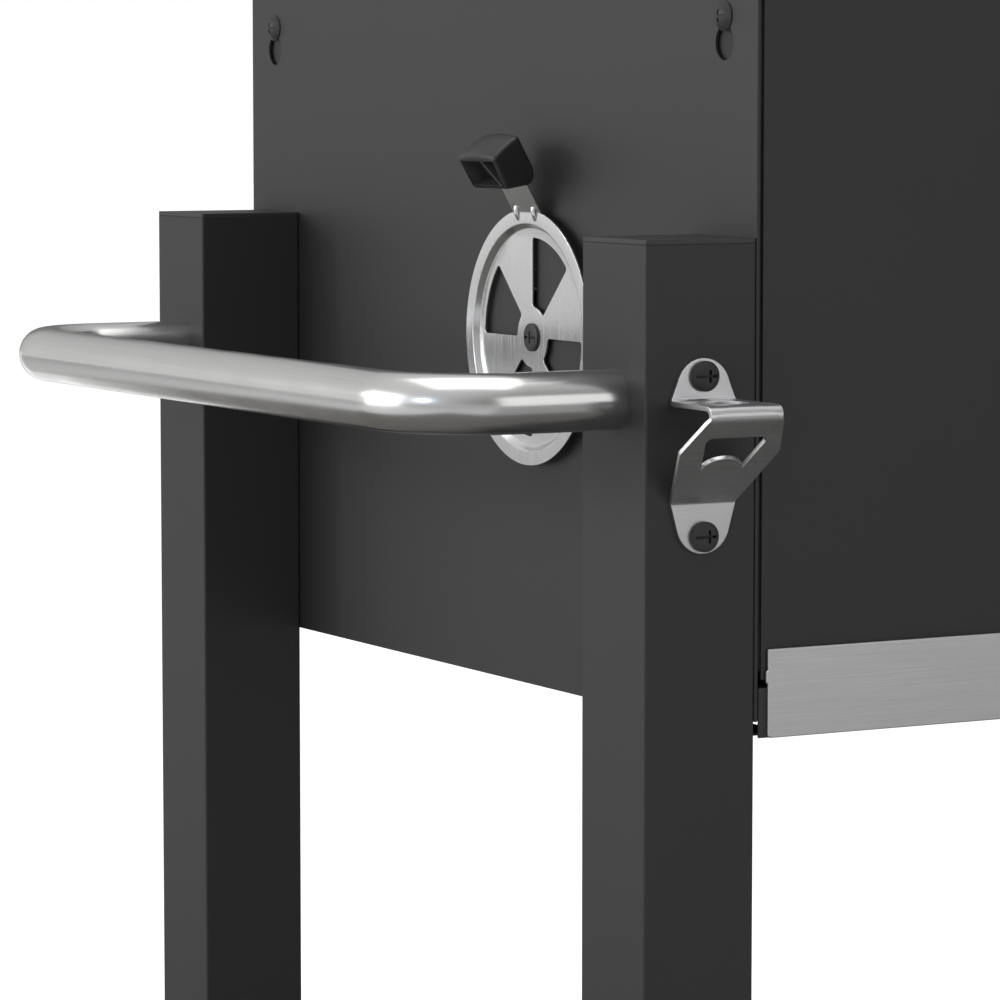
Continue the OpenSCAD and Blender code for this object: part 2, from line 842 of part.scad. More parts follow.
// Heights of the opener: its tips, its screws and the folds between its parts
opener_top_z = leg_top_z - opener_drop;
opener_low_z = opener_top_z - opener_h;
opener_screw_z = [opener_top_z - screw_in_top, opener_low_z + screw_in_low];
opener_shelf_z = opener_top_z - tab_top_h;
opener_foot_z = opener_low_z + tab_low_h;
plate_drop = opener_shelf_z - opener_foot_z;
// Angle at which the sides of the tabs meet their round ends
join_angle = 15;
// Share of the shelf's reach at which its round hole lies
shelf_hole_share = 0.405;

// Side view of the bent strip, with y outwards and z up
module opener_profile() {
    t = opener_t;
    slope = atan2(plate_drop, opener_reach - t);
    polygon([[0, opener_top_z], [t, opener_top_z], [t, opener_shelf_z],
        [opener_reach, opener_shelf_z], [t, opener_foot_z], [t, opener_low_z],
        [0, opener_low_z], [0, opener_foot_z + t * tan(45 - slope / 2)],
        [opener_reach - t / tan(slope / 2), opener_shelf_z - t], [0, opener_shelf_z - t]]);
}

// Round end of a tab, reaching up from the middle of its circle
module tab_end() {
    face_front() intersection() {
        cylinder(r = tab_r, h = opener_t);
        translate([-tab_r, 0, -overrun]) cube([2 * tab_r, tab_r, opener_t + 2 * overrun]);
    }
}

// Front view of the opener's outline, without its round ends and its holes
module opener_outline() {
    ear_top_share = 0.44;
    ear_low_share = 0.5;
    join_x = tab_r * cos(join_angle);
    join_y = tab_r * (1 - sin(join_angle));
    right = [[join_x, opener_top_z - join_y], [tab_half_w, opener_shelf_z],
        [fold_half_w, opener_shelf_z - opener_t],
        [ear_half_w, opener_shelf_z - plate_drop * ear_top_share],
        [ear_half_w, opener_shelf_z - plate_drop * ear_low_share],
        [tab_half_w, opener_foot_z], [join_x, opener_low_z + join_y]];
    left = [for (i = [len(right) - 1 : -1 : 0]) [-right[i][0], right[i][1]]];
    polygon(concat(right, left));
}

// Window of the opener, with the tongue that grips a cap rising into it
module opener_window() {
    top_share = 0.32;
    low_share = 0.65;
    top_half_share = 0.634;
    low_half_share = 0.415;
    tongue_share = 1.28;
    tongue_sink_share = 0.62;
    top_half = ear_half_w * top_half_share;
    low_half = ear_half_w * low_half_share;
    tongue_r = low_half * tongue_share;
    low_z = opener_shelf_z - plate_drop * low_share;
    difference() {
        polygon([[-top_half, opener_shelf_z - plate_drop * top_share],
            [top_half, opener_shelf_z - plate_drop * top_share],
            [low_half, low_z], [-low_half, low_z]]);
        translate([0, low_z - tongue_r * tongue_sink_share]) circle(tongue_r);
    }
}

module bottle_opener() {
    color("lightgray") in_row() left_side() translate([-leg_w / 2, front_y, 0]) difference() {
        union() {
            intersection() {
                translate([-ear_half_w - overrun, 0, 0]) rotate([90, 0, 90]) mirror([1, 0, 0])
                    linear_extrude(2 * ear_half_w + 2 * overrun) opener_profile();
                translate([0, overrun, 0]) face_front()
                    linear_extrude(opener_reach + 2 * overrun) opener_outline();
            }
            translate([0, 0, opener_top_z - tab_r]) tab_end();
            translate([0, 0, opener_low_z + tab_r]) mirror([0, 0, 1]) tab_end();
        }
        translate([0, -opener_t, 0]) face_front() linear_extrude(opener_reach) opener_window();
        for (z = opener_screw_z)
            translate([0, -opener_t, z]) rotate([-90, 0, 0])
                wall_hole(bolt_d + 2 * hole_gap, opener_t);
        translate([0, -opener_reach * shelf_hole_share, opener_shelf_z - opener_t])
            wall_hole(shelf_hole_d, opener_t);
    }
}

module opener_screws() {
    color("dimgray") in_row() left_side()
        for (z = opener_screw_z)
            translate([-leg_w / 2, front_y - opener_t, z]) rotate([-90, 0, 0])
                bolt(bolt_d, opener_t + leg_wall + nut_h, bolt_head_d, bolt_head_h);
}

module opener_nuts() {
    color("silver") in_row() left_side()
        for (z = opener_screw_z)
            translate([-leg_w / 2, front_y + leg_wall, z]) rotate([-90, 0, 0])
                hex_nut(bolt_d, nut_flats, nut_h);
}

// Stepped disc, lying on the panel, with its lever bent out at the top
module damper() {
    rim_in = disc_d / 2 - disc_rim_w;
    flat_r = rim_in - disc_step_w;
    translate([-disc_gap, vent_y, vent_z]) {
        face_left() difference() {
            rotate_extrude() polygon([[0, 0], [flat_r + disc_t, 0], [rim_in + disc_t, disc_step],
                [disc_d / 2, disc_step], [disc_d / 2, disc_step + disc_t],
                [rim_in, disc_step + disc_t], [flat_r, disc_t], [0, disc_t]]);
            translate([0, 0, -overrun]) linear_extrude(disc_t + 2 * overrun)
                vent_openings(0, vent_angle, vent_hub_r, vent_r);
            wall_hole(shoulder_d + 2 * running_gap, disc_t);
        }
        translate([-disc_step, 0, disc_d / 2 - disc_rim_w / 2]) lever();
    }
}

// Flat strip from the disc's rim, standing up and then leaning outwards
module lever() {
    foot = disc_rim_w / 2;
    translate([-disc_t, -lever_w / 2, 0]) cube([disc_t, lever_w, foot]);
    translate([-disc_t, -lever_w / 2, foot - disc_t / 2]) rotate([0, -lever_angle, 0])
        cube([disc_t, lever_w, lever_len + lever_in]);
}

// How far the knob's lower end lies below its outer face's lower edge
knob_seat = knob_h / 4;
// The knob's rounded inner lower edge, as shares of its depth and of that height
knob_edge_shares = [[1, 0.5], [0.93, -0.4], [0.8, -0.9], [0.65, -1]];
// Number of hollows in the knob's outer face
knob_hollows = 2;

// Knob in its own frame: x from the outer face inwards, z along the lever
module knob_body() {
    rotate([90, 0, 0]) translate([0, 0, -knob_w / 2]) linear_extrude(knob_w)
        polygon(concat([[0, 0], [0, knob_h], [knob_deep, knob_h + knob_lift]],
            [for (share = knob_edge_shares) [share[0] * knob_deep, share[1] * knob_seat]]));
}

module knob_cuts() {
    slot = disc_t + 2 * thread_gap;
    inner_w = (knob_w - (knob_hollows + 1) * knob_wall) / knob_hollows;
    for (sy = [-1, 1])
        translate([-overrun, sy * (knob_wall + inner_w) / 2 - inner_w / 2, knob_wall])
            cube([knob_hollow + overrun, inner_w, knob_h - 2 * knob_wall]);
    translate([knob_lever - slot / 2, -lever_w / 2 - thread_gap, -knob_h])
        cube([slot, lever_w + 2 * thread_gap, knob_h + lever_in - knob_seat + thread_gap]);
}

module damper_knob() {
    start_z = disc_d / 2 - disc_t / 2;
    translate([-disc_gap - disc_step - disc_t, vent_y, vent_z + start_z])
        rotate([0, -lever_angle, 0])
            translate([disc_t / 2 - knob_lever, 0, lever_len + knob_seat])
                difference() {
                    knob_body();
                    knob_cuts();
                }
}

module damper_left() {
    color("silver") in_row() left_side() damper();
}

module damper_right() {
    color("silver") in_row() right_side() damper();
}

module damper_knob_left() {
    color("black") in_row() left_side() damper_knob();
}

module damper_knob_right() {
    color("black") in_row() right_side() damper_knob();
}

// Shoulder bolts that the dampers turn on
module damper_bolts() {
    stand = disc_t + 2 * disc_gap;
    color("dimgray") in_row() both_sides() translate([-stand, vent_y, vent_z]) rotate([0, 90, 0]) {
        bolt(bolt_d, stand + side_x - tub_in_x + nut_h, bolt_head_d, bolt_head_h);
        cylinder(d = shoulder_d, h = stand);
    }
}

module damper_nuts() {
    color("silver") in_row() both_sides()
        translate([side_x - tub_in_x, vent_y, vent_z]) rotate([0, 90, 0])
            hex_nut(bolt_d, nut_flats, nut_h);
}

// Drawer: the lips ride on the runners, and the front wall is wider than the tray
tray_front_y = front_y - strip_gap;
tray_x = side_x - side_sheet - runner_w - 2 * tray_gap;
tray_z = front_low_z - tray_gap - tray_h - light_sheet;
lip_z = tray_z + tray_h;
tray_front_top_z = front_low_z - tray_front_drop;

module drawer_tray() {
    tray_front_x = side_x - tray_front_inset;
    color("dimgray") in_row() difference() {
        union() {
            translate([-tray_x, tray_front_y, tray_z])
                cube([2 * tray_x, tray_len, tray_h]);
            translate([-tray_x - tray_lip, tray_front_y + relief, lip_z - light_sheet])
                cube([2 * (tray_x + tray_lip), tray_len - relief, light_sheet]);
            translate([-tray_front_x, tray_front_y, panel_z])
                cube([2 * tray_front_x, light_sheet, tray_front_top_z - panel_z]);
        }
        translate([-tray_x + light_sheet, tray_front_y + light_sheet, tray_z + light_sheet])
            cube([2 * (tray_x - light_sheet), tray_len - 2 * light_sheet, tray_h]);
        pull_holes(light_sheet, tray_front_y);
    }
}

module pull_holes(wall, y) {
    for (sx = [-1, 1])
        translate([sx * pull_w / 2, y, pull_z]) rotate([-90, 0, 0])
            wall_hole(stud_d + 2 * hole_gap, wall);
}

strip_x = side_x - strip_inset;
pull_z = panel_z + slot_h / 2;

// Bright front of the drawer, round at its lower corners, with a small tab at each end
module drawer_front() {
    color("lightgray") in_row() difference() {
        union() {
            translate([0, tray_front_y, panel_z]) face_front() linear_extrude(strip_t) {
                round_rect(2 * strip_x, strip_h, strip_t);
                translate([-strip_x, strip_h / 2]) square([2 * strip_x, strip_h / 2]);
            }
            translate([-strip_x - end_tab_w, tray_front_y - strip_t,
                       front_low_z + light_sheet - end_tab_h / 2])
                cube([2 * (strip_x + end_tab_w), strip_t, end_tab_h]);
        }
        pull_holes(strip_t, tray_front_y - strip_t);
    }
}

// Bow of round rod with square bends
module drawer_pull() {
    strip_face_y = tray_front_y - strip_t;
    color("black") in_row() difference() {
        union() {
            for (sx = [-1, 1])
                translate([sx * pull_w / 2, strip_face_y, pull_z]) rotate([90, 0, 0]) {
                    cylinder(d = pull_d, h = pull_reach);
                    translate([0, 0, pull_reach]) sphere(d = pull_d);
                }
            translate([-pull_w / 2, strip_face_y - pull_reach, pull_z]) rotate([0, 90, 0])
                cylinder(d = pull_d, h = pull_w);
        }
        for (sx = [-1, 1])
            translate([sx * pull_w / 2, strip_face_y, pull_z]) rotate([90, 0, 0])
                translate([0, 0, -overrun]) cylinder(d = stud_d + 2 * thread_gap,
                    h = overrun + pull_reach / 2 + thread_gap);
    }
}

module pull_screws() {
    color("silver") in_row()
        for (sx = [-1, 1])
            translate([sx * pull_w / 2, tray_front_y + light_sheet, pull_z]) rotate([90, 0, 0])
                bolt(stud_d, light_sheet + strip_t + pull_reach / 2, nut_flats, bolt_head_h);
}

// Angles under the drawer's lips, welded to the side panels, on their lower flanges
module drawer_runners() {
    low_z = panel_z + light_sheet;
    runner_h = lip_z - light_sheet - tray_gap - low_z;
    color("dimgray") in_row() both_sides() difference() {
        translate([side_sheet, front_y + relief, low_z])
            cube([runner_w, tray_len - relief, runner_h]);
        translate([side_sheet + light_sheet, front_y, low_z - overrun])
            cube([runner_w, tray_len + relief, runner_h - light_sheet + overrun]);
    }
}

// Angles that carry the cooking grates, welded to the tub
module grate_rails() {
    rail_x = tub_in_x - rail_w;
    color("dimgray") in_row() front_and_back() difference() {
        translate([-rail_x, -tub_in_y, rail_z - rail_h]) cube([2 * rail_x, rail_w, rail_h]);
        translate([-rail_x - overrun, -tub_in_y + light_sheet, rail_z - rail_h - overrun])
            cube([2 * (rail_x + overrun), rail_w, rail_h - light_sheet + overrun]);
    }
}

// Welded grate: a frame of rod with thinner bars across it
module rod_grate(w, d, frame_d, bar_d, bars) {
    step = (w - frame_d) / (bars + 1);
    half_d = d / 2 - frame_d / 2;
    translate([0, 0, frame_d / 2]) {
        for (sy = [-1, 1])
            translate([frame_d / 2, sy * half_d, 0]) rotate([0, 90, 0])
                cylinder(d = frame_d, h = w - frame_d);
        for (x = [frame_d / 2, w - frame_d / 2])
            translate([x, -half_d, 0]) {
                rotate([-90, 0, 0]) cylinder(d = frame_d, h = 2 * half_d);
                for (y = [0, 2 * half_d])
                    translate([0, y, 0]) sphere(d = frame_d);
            }
        for (i = [1 : bars])
            translate([frame_d / 2 + i * step, -half_d, 0]) rotate([-90, 0, 0])
                cylinder(d = bar_d, h = 2 * half_d);
    }
}

// Width and depth of a cooking grate: two grates and three gaps fill the tub
cook_w = (2 * tub_in_x - 3 * grate_gap) / 2;
cook_d = 2 * (tub_in_y - grate_gap);

module cooking_grate_left() {
    color("dimgray") in_row() translate([-cook_w - grate_gap / 2, 0, rail_z])
        rod_grate(cook_w, cook_d, grate_frame_d, grate_bar_d, grate_bars);
}

module cooking_grate_right() {
    color("dimgray") in_row() translate([grate_gap / 2, 0, rail_z])
        rod_grate(cook_w, cook_d, grate_frame_d, grate_bar_d, grate_bars);
}

pan_x = tub_in_x - pan_gap;
pan_y = tub_in_y - pan_gap;

// Open pan whose floor has one large opening under the charcoal grate
module charcoal_pan() {
    inner_x = pan_x - light_sheet;
    inner_y = pan_y - light_sheet;
    color("darkslategray") in_row() difference() {
        union() {
            translate([-pan_x, -pan_y, pan_floor_z]) cube([2 * pan_x, 2 * pan_y, pan_h]);
            translate([-pan_x - pan_rim_w, -pan_y - pan_rim_w, pan_rim_z - light_sheet])
                cube([2 * (pan_x + pan_rim_w), 2 * (pan_y + pan_rim_w), light_sheet]);
        }
        translate([-inner_x, -inner_y, pan_floor_z + light_sheet])
            cube([2 * inner_x, 2 * inner_y, pan_h]);
        translate([-inner_x + pan_ledge, -inner_y + pan_ledge, pan_floor_z - overrun])
            cube([2 * (inner_x - pan_ledge), 2 * (inner_y - pan_ledge),
                light_sheet + 2 * overrun]);
    }
}

module charcoal_grate() {
    coal_w = 2 * (pan_x - light_sheet - tray_gap);
    coal_d = 2 * (pan_y - light_sheet - tray_gap);
    color("dimgray") in_row() translate([-coal_w / 2, 0, pan_floor_z + light_sheet])
        rod_grate(coal_w, coal_d, coal_rod_d, coal_bar_d, coal_bars);
}

// Angles under the pan's rim, welded to the tub's front and back walls
module pan_brackets() {
    bracket_x = pan_x / 2;
    arm = pan_gap - tray_gap;
    arm_z = pan_rim_z - light_sheet;
    color("dimgray") in_row() front_and_back()
        for (sx = [-1, 1])
            translate([sx * bracket_x - bracket_w / 2, -tub_in_y, arm_z - bracket_h]) difference() {
                cube([bracket_w, arm, bracket_h]);
                translate([-overrun, light_sheet, -overrun])
                    cube([bracket_w + 2 * overrun, arm, bracket_h - light_sheet + overrun]);
            }
}

leg_front_left();
leg_rear_left();
leg_front_right();
leg_rear_right();
leg_caps();
leg_bottom_caps();
foot_pads();
axle();
axle_washers();
axle_nuts();
wheel_front();
wheel_rear();
tyre_front();
tyre_rear();
bottom_shelf();
shelf_cross_bars();
shelf_end_bars();
shelf_bolts();
shelf_nuts();
firebox_tub();
side_panel_left();
side_panel_right();
front_panel();
back_panel();
panel_nuts();
hook_screws();
hook_nuts();
leg_bolts();
leg_nuts();
handle_tube();
handle_plugs();
handle_bolts();
bottle_opener();
opener_screws();
opener_nuts();
damper_left();
damper_right();
damper_knob_left();
damper_knob_right();
damper_bolts();
damper_nuts();
drawer_tray();
drawer_front();
drawer_pull();
pull_screws();
drawer_runners();
cooking_grate_left();
cooking_grate_right();
grate_rails();
charcoal_pan();
charcoal_grate();
pan_brackets();
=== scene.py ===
# %% [markdown]
# A charcoal grill cart, dressed for a studio picture.
#
# The construction comes packed from the CAD model: each node is one sort of piece
# at its real size, and each body is a group of nodes that moves together. This
# lesson never moves those nodes. It gives them finishes, and where the plain solid
# lacks something that the eye expects, such as a rounded edge, a real bend or a
# recess, it makes a finer piece in the same place and hides the solid.
#
# Lengths are in metres, as everywhere in Blender. A length that is easier to think
# of in millimetres is written as a number of MM.

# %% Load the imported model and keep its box
import json
import math
import bmesh
import bpy
from mathutils import Matrix, Vector


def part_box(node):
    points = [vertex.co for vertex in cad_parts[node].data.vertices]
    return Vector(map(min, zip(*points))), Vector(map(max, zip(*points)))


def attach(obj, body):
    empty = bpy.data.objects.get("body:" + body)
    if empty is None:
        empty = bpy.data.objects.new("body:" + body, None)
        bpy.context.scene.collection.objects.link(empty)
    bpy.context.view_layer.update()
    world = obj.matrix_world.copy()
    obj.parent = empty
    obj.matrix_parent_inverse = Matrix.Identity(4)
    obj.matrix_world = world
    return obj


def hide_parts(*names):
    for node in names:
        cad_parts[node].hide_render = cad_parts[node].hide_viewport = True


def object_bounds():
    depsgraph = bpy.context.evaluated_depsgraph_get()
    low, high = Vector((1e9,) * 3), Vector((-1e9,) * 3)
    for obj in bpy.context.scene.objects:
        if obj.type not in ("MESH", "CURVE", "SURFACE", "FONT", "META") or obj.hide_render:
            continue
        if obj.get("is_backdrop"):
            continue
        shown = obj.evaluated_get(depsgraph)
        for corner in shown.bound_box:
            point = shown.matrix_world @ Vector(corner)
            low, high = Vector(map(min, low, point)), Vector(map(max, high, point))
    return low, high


MM = 0.001
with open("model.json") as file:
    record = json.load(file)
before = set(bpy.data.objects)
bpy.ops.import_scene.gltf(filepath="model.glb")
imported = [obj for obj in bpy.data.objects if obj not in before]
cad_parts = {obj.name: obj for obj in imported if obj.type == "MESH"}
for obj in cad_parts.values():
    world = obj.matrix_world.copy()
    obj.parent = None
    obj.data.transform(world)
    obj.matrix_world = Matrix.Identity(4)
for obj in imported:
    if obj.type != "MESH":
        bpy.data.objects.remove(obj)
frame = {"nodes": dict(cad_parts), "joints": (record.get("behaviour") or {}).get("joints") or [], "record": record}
cad_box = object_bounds()
print("CAD box:", [round(v, 4) for corner in cad_box for v in corner])

# %% [markdown]
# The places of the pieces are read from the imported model. A node that holds several
# equal fasteners is one mesh with several islands, so the islands are split first:
# the middle and size of each says where a screw or a nut sits. Planes that many
# pieces share, such as the body's front face, are named once.

# %% Find where the pieces are
WELD_WITHIN = 0.005 * MM
FLAT_WITHIN = math.radians(0.5)


def merged_copy(node):
    """The node's triangles as one welded mesh, with its flat faces joined again."""
    bm = bmesh.new()
    bm.from_mesh(frame["nodes"][node].data)
    bmesh.ops.remove_doubles(bm, verts=bm.verts, dist=WELD_WITHIN)
    bmesh.ops.dissolve_limit(bm, angle_limit=FLAT_WITHIN, verts=bm.verts,
                             edges=bm.edges, delimit=set())
    return bm


def islands(node):
    """Lowest and highest corner of each separate solid in a node."""
    bm = merged_copy(node)
    left = set(bm.verts)
    found = []
    while left:
        group, todo = [], [left.pop()]
        while todo:
            vert = todo.pop()
            group.append(vert.co.copy())
            for edge in vert.link_edges:
                other = edge.other_vert(vert)
                if other in left:
                    left.remove(other)
                    todo.append(other)
        found.append((Vector(min(p[i] for p in group) for i in range(3)),
                      Vector(max(p[i] for p in group) for i in range(3))))
    bm.free()
    return sorted(found, key=lambda box: tuple(round(c, 4) for c in box[0]))


left_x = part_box("side_panel_left")[0].x
right_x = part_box("side_panel_right")[1].x
middle_x = (left_x + right_x) / 2
front_y, back_y = (corner.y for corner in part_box("side_panel_left"))
leg_low, leg_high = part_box("leg_front_left")
leg_w = leg_high.x - leg_low.x
hinges = {joint["name"]: Vector(joint["pos_m"]) for joint in frame["joints"] if "pos_m" in joint}
print("body", round(right_x - left_x, 4), "x", round(back_y - front_y, 4), "leg", round(leg_w, 4))

# %% [markdown]
# A finish is a small node graph. The same few steps come back in all of them: a
# noise that is read in Object coordinates, a ramp that turns it into a slight change
# of colour or roughness, and a bump. They are written once here. A number that is
# the same all over a surface is set on the shader's own socket, so that it survives
# an export.

# %% Helpers for node trees
def put(tree, socket, value):
    """Links another socket to this input, or sets a plain value on it."""
    if isinstance(value, bpy.types.NodeSocket):
        tree.links.new(value, socket)
    else:
        socket.default_value = value


def add_node(tree, kind, settings=None, **inputs):
    """A node with its settings, and its inputs by name: _ stands for a space."""
    made = tree.nodes.new(kind)
    for key, value in (settings or {}).items():
        setattr(made, key, value)
    for key, value in inputs.items():
        put(tree, made.inputs[key.replace("_", " ")], value)
    return made


# %% Helpers for finishes
# A Mix node has sockets of the same name for each sort of value, so the ones for
# colours are called by their number.
MIX_FACTOR, MIX_FIRST, MIX_SECOND, MIX_COLOR = 0, 6, 7, 2
# Most of a noise's values lie between these two.
NOISE_LOW, NOISE_HIGH = 0.3, 0.7


class Finish:
    """A material that is being built, with its Principled shader."""

    def __init__(self, name, color, metallic, roughness):
        self.roughness = roughness
        self.material = bpy.data.materials.new(name)
        self.material.use_nodes = True
        self.tree = self.material.node_tree
        self.shader = self.tree.nodes["Principled BSDF"]
        self.shader.inputs["Base Color"].default_value = (*color, 1)
        self.shader.inputs["Metallic"].default_value = metallic
        self.shader.inputs["Roughness"].default_value = roughness
        self.coords = add_node(self.tree, "ShaderNodeTexCoord").outputs["Object"]

    def stretched(self, scale):
        """Object coordinates, scaled by a vector: a small number draws streaks out."""
        made = add_node(self.tree, "ShaderNodeMapping", Vector=self.coords, Scale=scale)
        return made.outputs["Vector"]

    def noise(self, size, detail=2.0, at=None, roughness=0.5):
        """A noise whose grains are about that many metres wide."""
        made = add_node(self.tree, "ShaderNodeTexNoise", Vector=at or self.coords,
                        Scale=1 / size, Detail=detail, Roughness=roughness)
        return made.outputs["Fac"]

    def between(self, value, low=0.0, high=1.0):
        """Maps a noise to a range of numbers."""
        made = add_node(self.tree, "ShaderNodeMapRange", Value=value, From_Min=NOISE_LOW,
                        From_Max=NOISE_HIGH, To_Min=low, To_Max=high)
        return made.outputs["Result"]

    def blend(self, factor, first, second):
        """A colour between two colours."""
        made = add_node(self.tree, "ShaderNodeMix", {"data_type": "RGBA"})
        put(self.tree, made.inputs[MIX_FACTOR], factor)
        for index, color in ((MIX_FIRST, first), (MIX_SECOND, second)):
            linked = isinstance(color, bpy.types.NodeSocket)
            put(self.tree, made.inputs[index], color if linked else (*color, 1))
        return made.outputs[MIX_COLOR]

    def link(self, socket, value):
        self.tree.links.new(value, self.shader.inputs[socket])

    def vary_roughness(self, value, less, more):
        """Lets a noise move the roughness a little down and up."""
        self.link("Roughness", self.between(value, self.roughness - less, self.roughness + more))

    def bump(self, height, distance, strength):
        """Raises the surface by a height."""
        made = add_node(self.tree, "ShaderNodeBump", Height=height, Distance=distance,
                        Strength=strength)
        self.link("Normal", made.outputs["Normal"])


def tinted(color, share):
    """A colour made lighter or darker by a share."""
    return tuple(min(1, part * (1 + share)) for part in color)


# %% [markdown]
# The legs, the panels and the lower shelf are coated with a fine, matt powder. Seen
# close, such a coat has a faint orange peel of about half a millimetre. The raised
# grains of that peel are painted a little lighter than its hollows, a painted glint.
# Apart from that its colour hardly varies, so most of the finish lies in the bump and
# in the roughness. It is a dark coat: what makes one face look lighter than the next
# is mainly the soft reflection of the room.

# %% Finish: powder coat
COAT = (0.0145, 0.0145, 0.0148)


def powder_coat(name="powder_coat", color=COAT, roughness=0.5, grain=0.45 * MM):
    """A matt coat with a fine ripple, whose raised grains are painted lighter: a painted glint."""
    coat = Finish(name, color, metallic=0.0, roughness=roughness)
    peel_and_glint = coat.noise(grain, detail=1.0)
    cloud = coat.noise(size=90 * MM)
    tone = coat.blend(coat.between(cloud), tinted(color, share=-0.05), tinted(color, share=0.05))
    # The raised grains of the peel are painted lighter here: a painted glint, not a colour of the coat.
    coat.link("Base Color", coat.blend(coat.between(peel_and_glint), tone, tinted(color, share=0.14)))
    coat.vary_roughness(peel_and_glint, less=0.04, more=0.05)
    coat.bump(peel_and_glint, distance=0.012 * MM, strength=0.5)
    return coat.material


coated = powder_coat()
print("made", coated.name)

# %% [markdown]
# The inside of the firebox, the drawer and the rails carry a thin heat-proof paint
# over plain sheet. It is flatter than the powder coat, a little uneven, and slightly
# dusty where ash has passed, so its roughness varies over a few centimetres.

# %% Finish: heat-proof paint
def heat_paint(name="heat_paint", color=(0.016, 0.016, 0.0165), roughness=0.62):
    """A thin, dull paint with some dust on it."""
    paint = Finish(name, color, metallic=0.0, roughness=roughness)
    cloud = paint.noise(size=60 * MM, detail=4.0)
    grain = paint.noise(size=0.8 * MM)
    dust = tinted(color, share=0.8)
    paint.link("Base Color", paint.blend(paint.between(cloud, high=0.6), color, dust))
    paint.vary_roughness(cloud, less=0.08, more=0.12)
    paint.bump(grain, distance=0.02 * MM, strength=0.5)
    return paint.material


painted = heat_paint()
print("made", painted.name)

# %% [markdown]
# Brushed steel is one metal with fine parallel scratches. The scratches are a noise
# that is very short across the brushing and very long along it, which a Mapping node
# does by scaling each axis on its own. They move the roughness and the height, and
# the colour only a little. A soft wide noise on top keeps the sheet from looking
# printed. One function serves the drawer front, the dampers and the opener, each
# with its own direction and grade.

# %% Finish: brushed steel
SCRATCH_W, SCRATCH_LONG = 0.12 * MM, 30 * MM


def brushed_steel(name, color, roughness, along, depth=1.0):
    """Steel brushed along X, Y or Z: along is a string with that letter."""
    steel = Finish(name, color, metallic=1.0, roughness=roughness)
    scale = tuple(1 / (SCRATCH_LONG if axis == along else SCRATCH_W) for axis in "XYZ")
    lines = steel.noise(size=1.0, at=steel.stretched(scale), roughness=0.6)
    cloud = steel.noise(size=25 * MM)
    tone = steel.blend(steel.between(lines), tinted(color, share=-0.13), tinted(color, share=0.1))
    steel.link("Base Color", steel.blend(steel.between(cloud, high=0.35), tone,
                                         tinted(color, share=-0.06)))
    steel.vary_roughness(lines, less=0.06, more=0.08)
    steel.bump(lines, distance=0.006 * MM, strength=depth)
    return steel.material


strip_steel = brushed_steel("brushed_strip", (0.76, 0.76, 0.77), roughness=0.36, along="X")
damper_steel = brushed_steel("stamped_steel", (0.84, 0.84, 0.845), roughness=0.2, along="Z",
                             depth=0.3)
opener_steel = brushed_steel("opener_steel", (0.7, 0.7, 0.71), roughness=0.32, along="X",
                             depth=0.6)
print("made", strip_steel.name, damper_steel.name, opener_steel.name)

# %% [markdown]
# The handle is polished, not brushed, but no tube is a perfect mirror: polishing
# runs along the tube and leaves hair lines that blur reflections across them.

# %% Finish: polished tube, zinc and black screws
def polished_steel():
    """Bright steel with hair lines along Y, the way the handle runs."""
    steel = Finish("polished_tube", (0.74, 0.735, 0.73), metallic=1.0, roughness=0.22)
    hair_w, hair_long = 0.25 * MM, 60 * MM
    scale = (1 / hair_w, 1 / hair_long, 1 / hair_w)
    hair = steel.noise(size=1.0, at=steel.stretched(scale))
    smear = steel.noise(size=35 * MM)
    steel.vary_roughness(smear, less=0.02, more=0.04)
    steel.link("Base Color", steel.blend(steel.between(hair), (0.72, 0.715, 0.71),
                                         (0.76, 0.757, 0.75)))
    steel.bump(hair, distance=0.002 * MM, strength=0.6)
    return steel.material


def zinc():
    """Bright zinc, in slightly bluish and slightly yellowish clouds."""
    metal = Finish("bright_zinc", (0.55, 0.56, 0.57), metallic=1.0, roughness=0.34)
    cloud = metal.noise(size=4 * MM, detail=3.0)
    metal.link("Base Color", metal.blend(metal.between(cloud), (0.5, 0.51, 0.53),
                                         (0.6, 0.59, 0.57)))
    metal.vary_roughness(cloud, less=0.06, more=0.08)
    return metal.material


def black_screw():
    """Blackened steel, dull enough to be drawn as a paint."""
    metal = Finish("black_screw", (0.018, 0.018, 0.0185), metallic=0.0, roughness=0.5)
    grain = metal.noise(size=0.5 * MM)
    metal.link("Base Color", metal.blend(metal.between(grain), (0.016, 0.016, 0.0165),
                                         (0.02, 0.02, 0.0205)))
    metal.bump(grain, distance=0.015 * MM, strength=0.4)
    return metal.material


tube_steel, zinc_plated, black_plated = polished_steel(), zinc(), black_screw()
print("made", tube_steel.name, zinc_plated.name, black_plated.name)

# %% [markdown]
# Plastics and rubbers differ mostly in how rough they are and how coarse their grain
# is. The knob has a fine spark-eroded texture, the caps are smoother, the wheels are
# satin, and the tyres are dull with a slightly dusty tread.

# %% Finish: plastics, rubber and rod
def moulded(name, color, roughness, grain, depth):
    """Plastic with the grain of its mould, and that grain's depth."""
    plastic = Finish(name, color, metallic=0.0, roughness=roughness)
    texture = plastic.noise(grain)
    flow = plastic.noise(size=18 * MM, detail=1.0)
    plastic.link("Base Color", plastic.blend(plastic.between(flow), color,
                                             tinted(color, share=0.15)))
    plastic.vary_roughness(texture, less=0.05, more=0.05)
    plastic.bump(texture, distance=depth, strength=0.6)
    return plastic.material


def rubber(name, color, roughness, dust):
    """Dull rubber. The more dust, the paler its clouds."""
    tyre = Finish(name, color, metallic=0.0, roughness=roughness)
    cloud = tyre.noise(size=12 * MM, detail=4.0)
    grain = tyre.noise(size=0.7 * MM)
    tyre.link("Base Color", tyre.blend(tyre.between(cloud, high=dust), color,
                                       tinted(color, share=3.0)))
    tyre.vary_roughness(cloud, less=0.05, more=0.08)
    tyre.bump(grain, distance=0.04 * MM, strength=0.5)
    return tyre.material


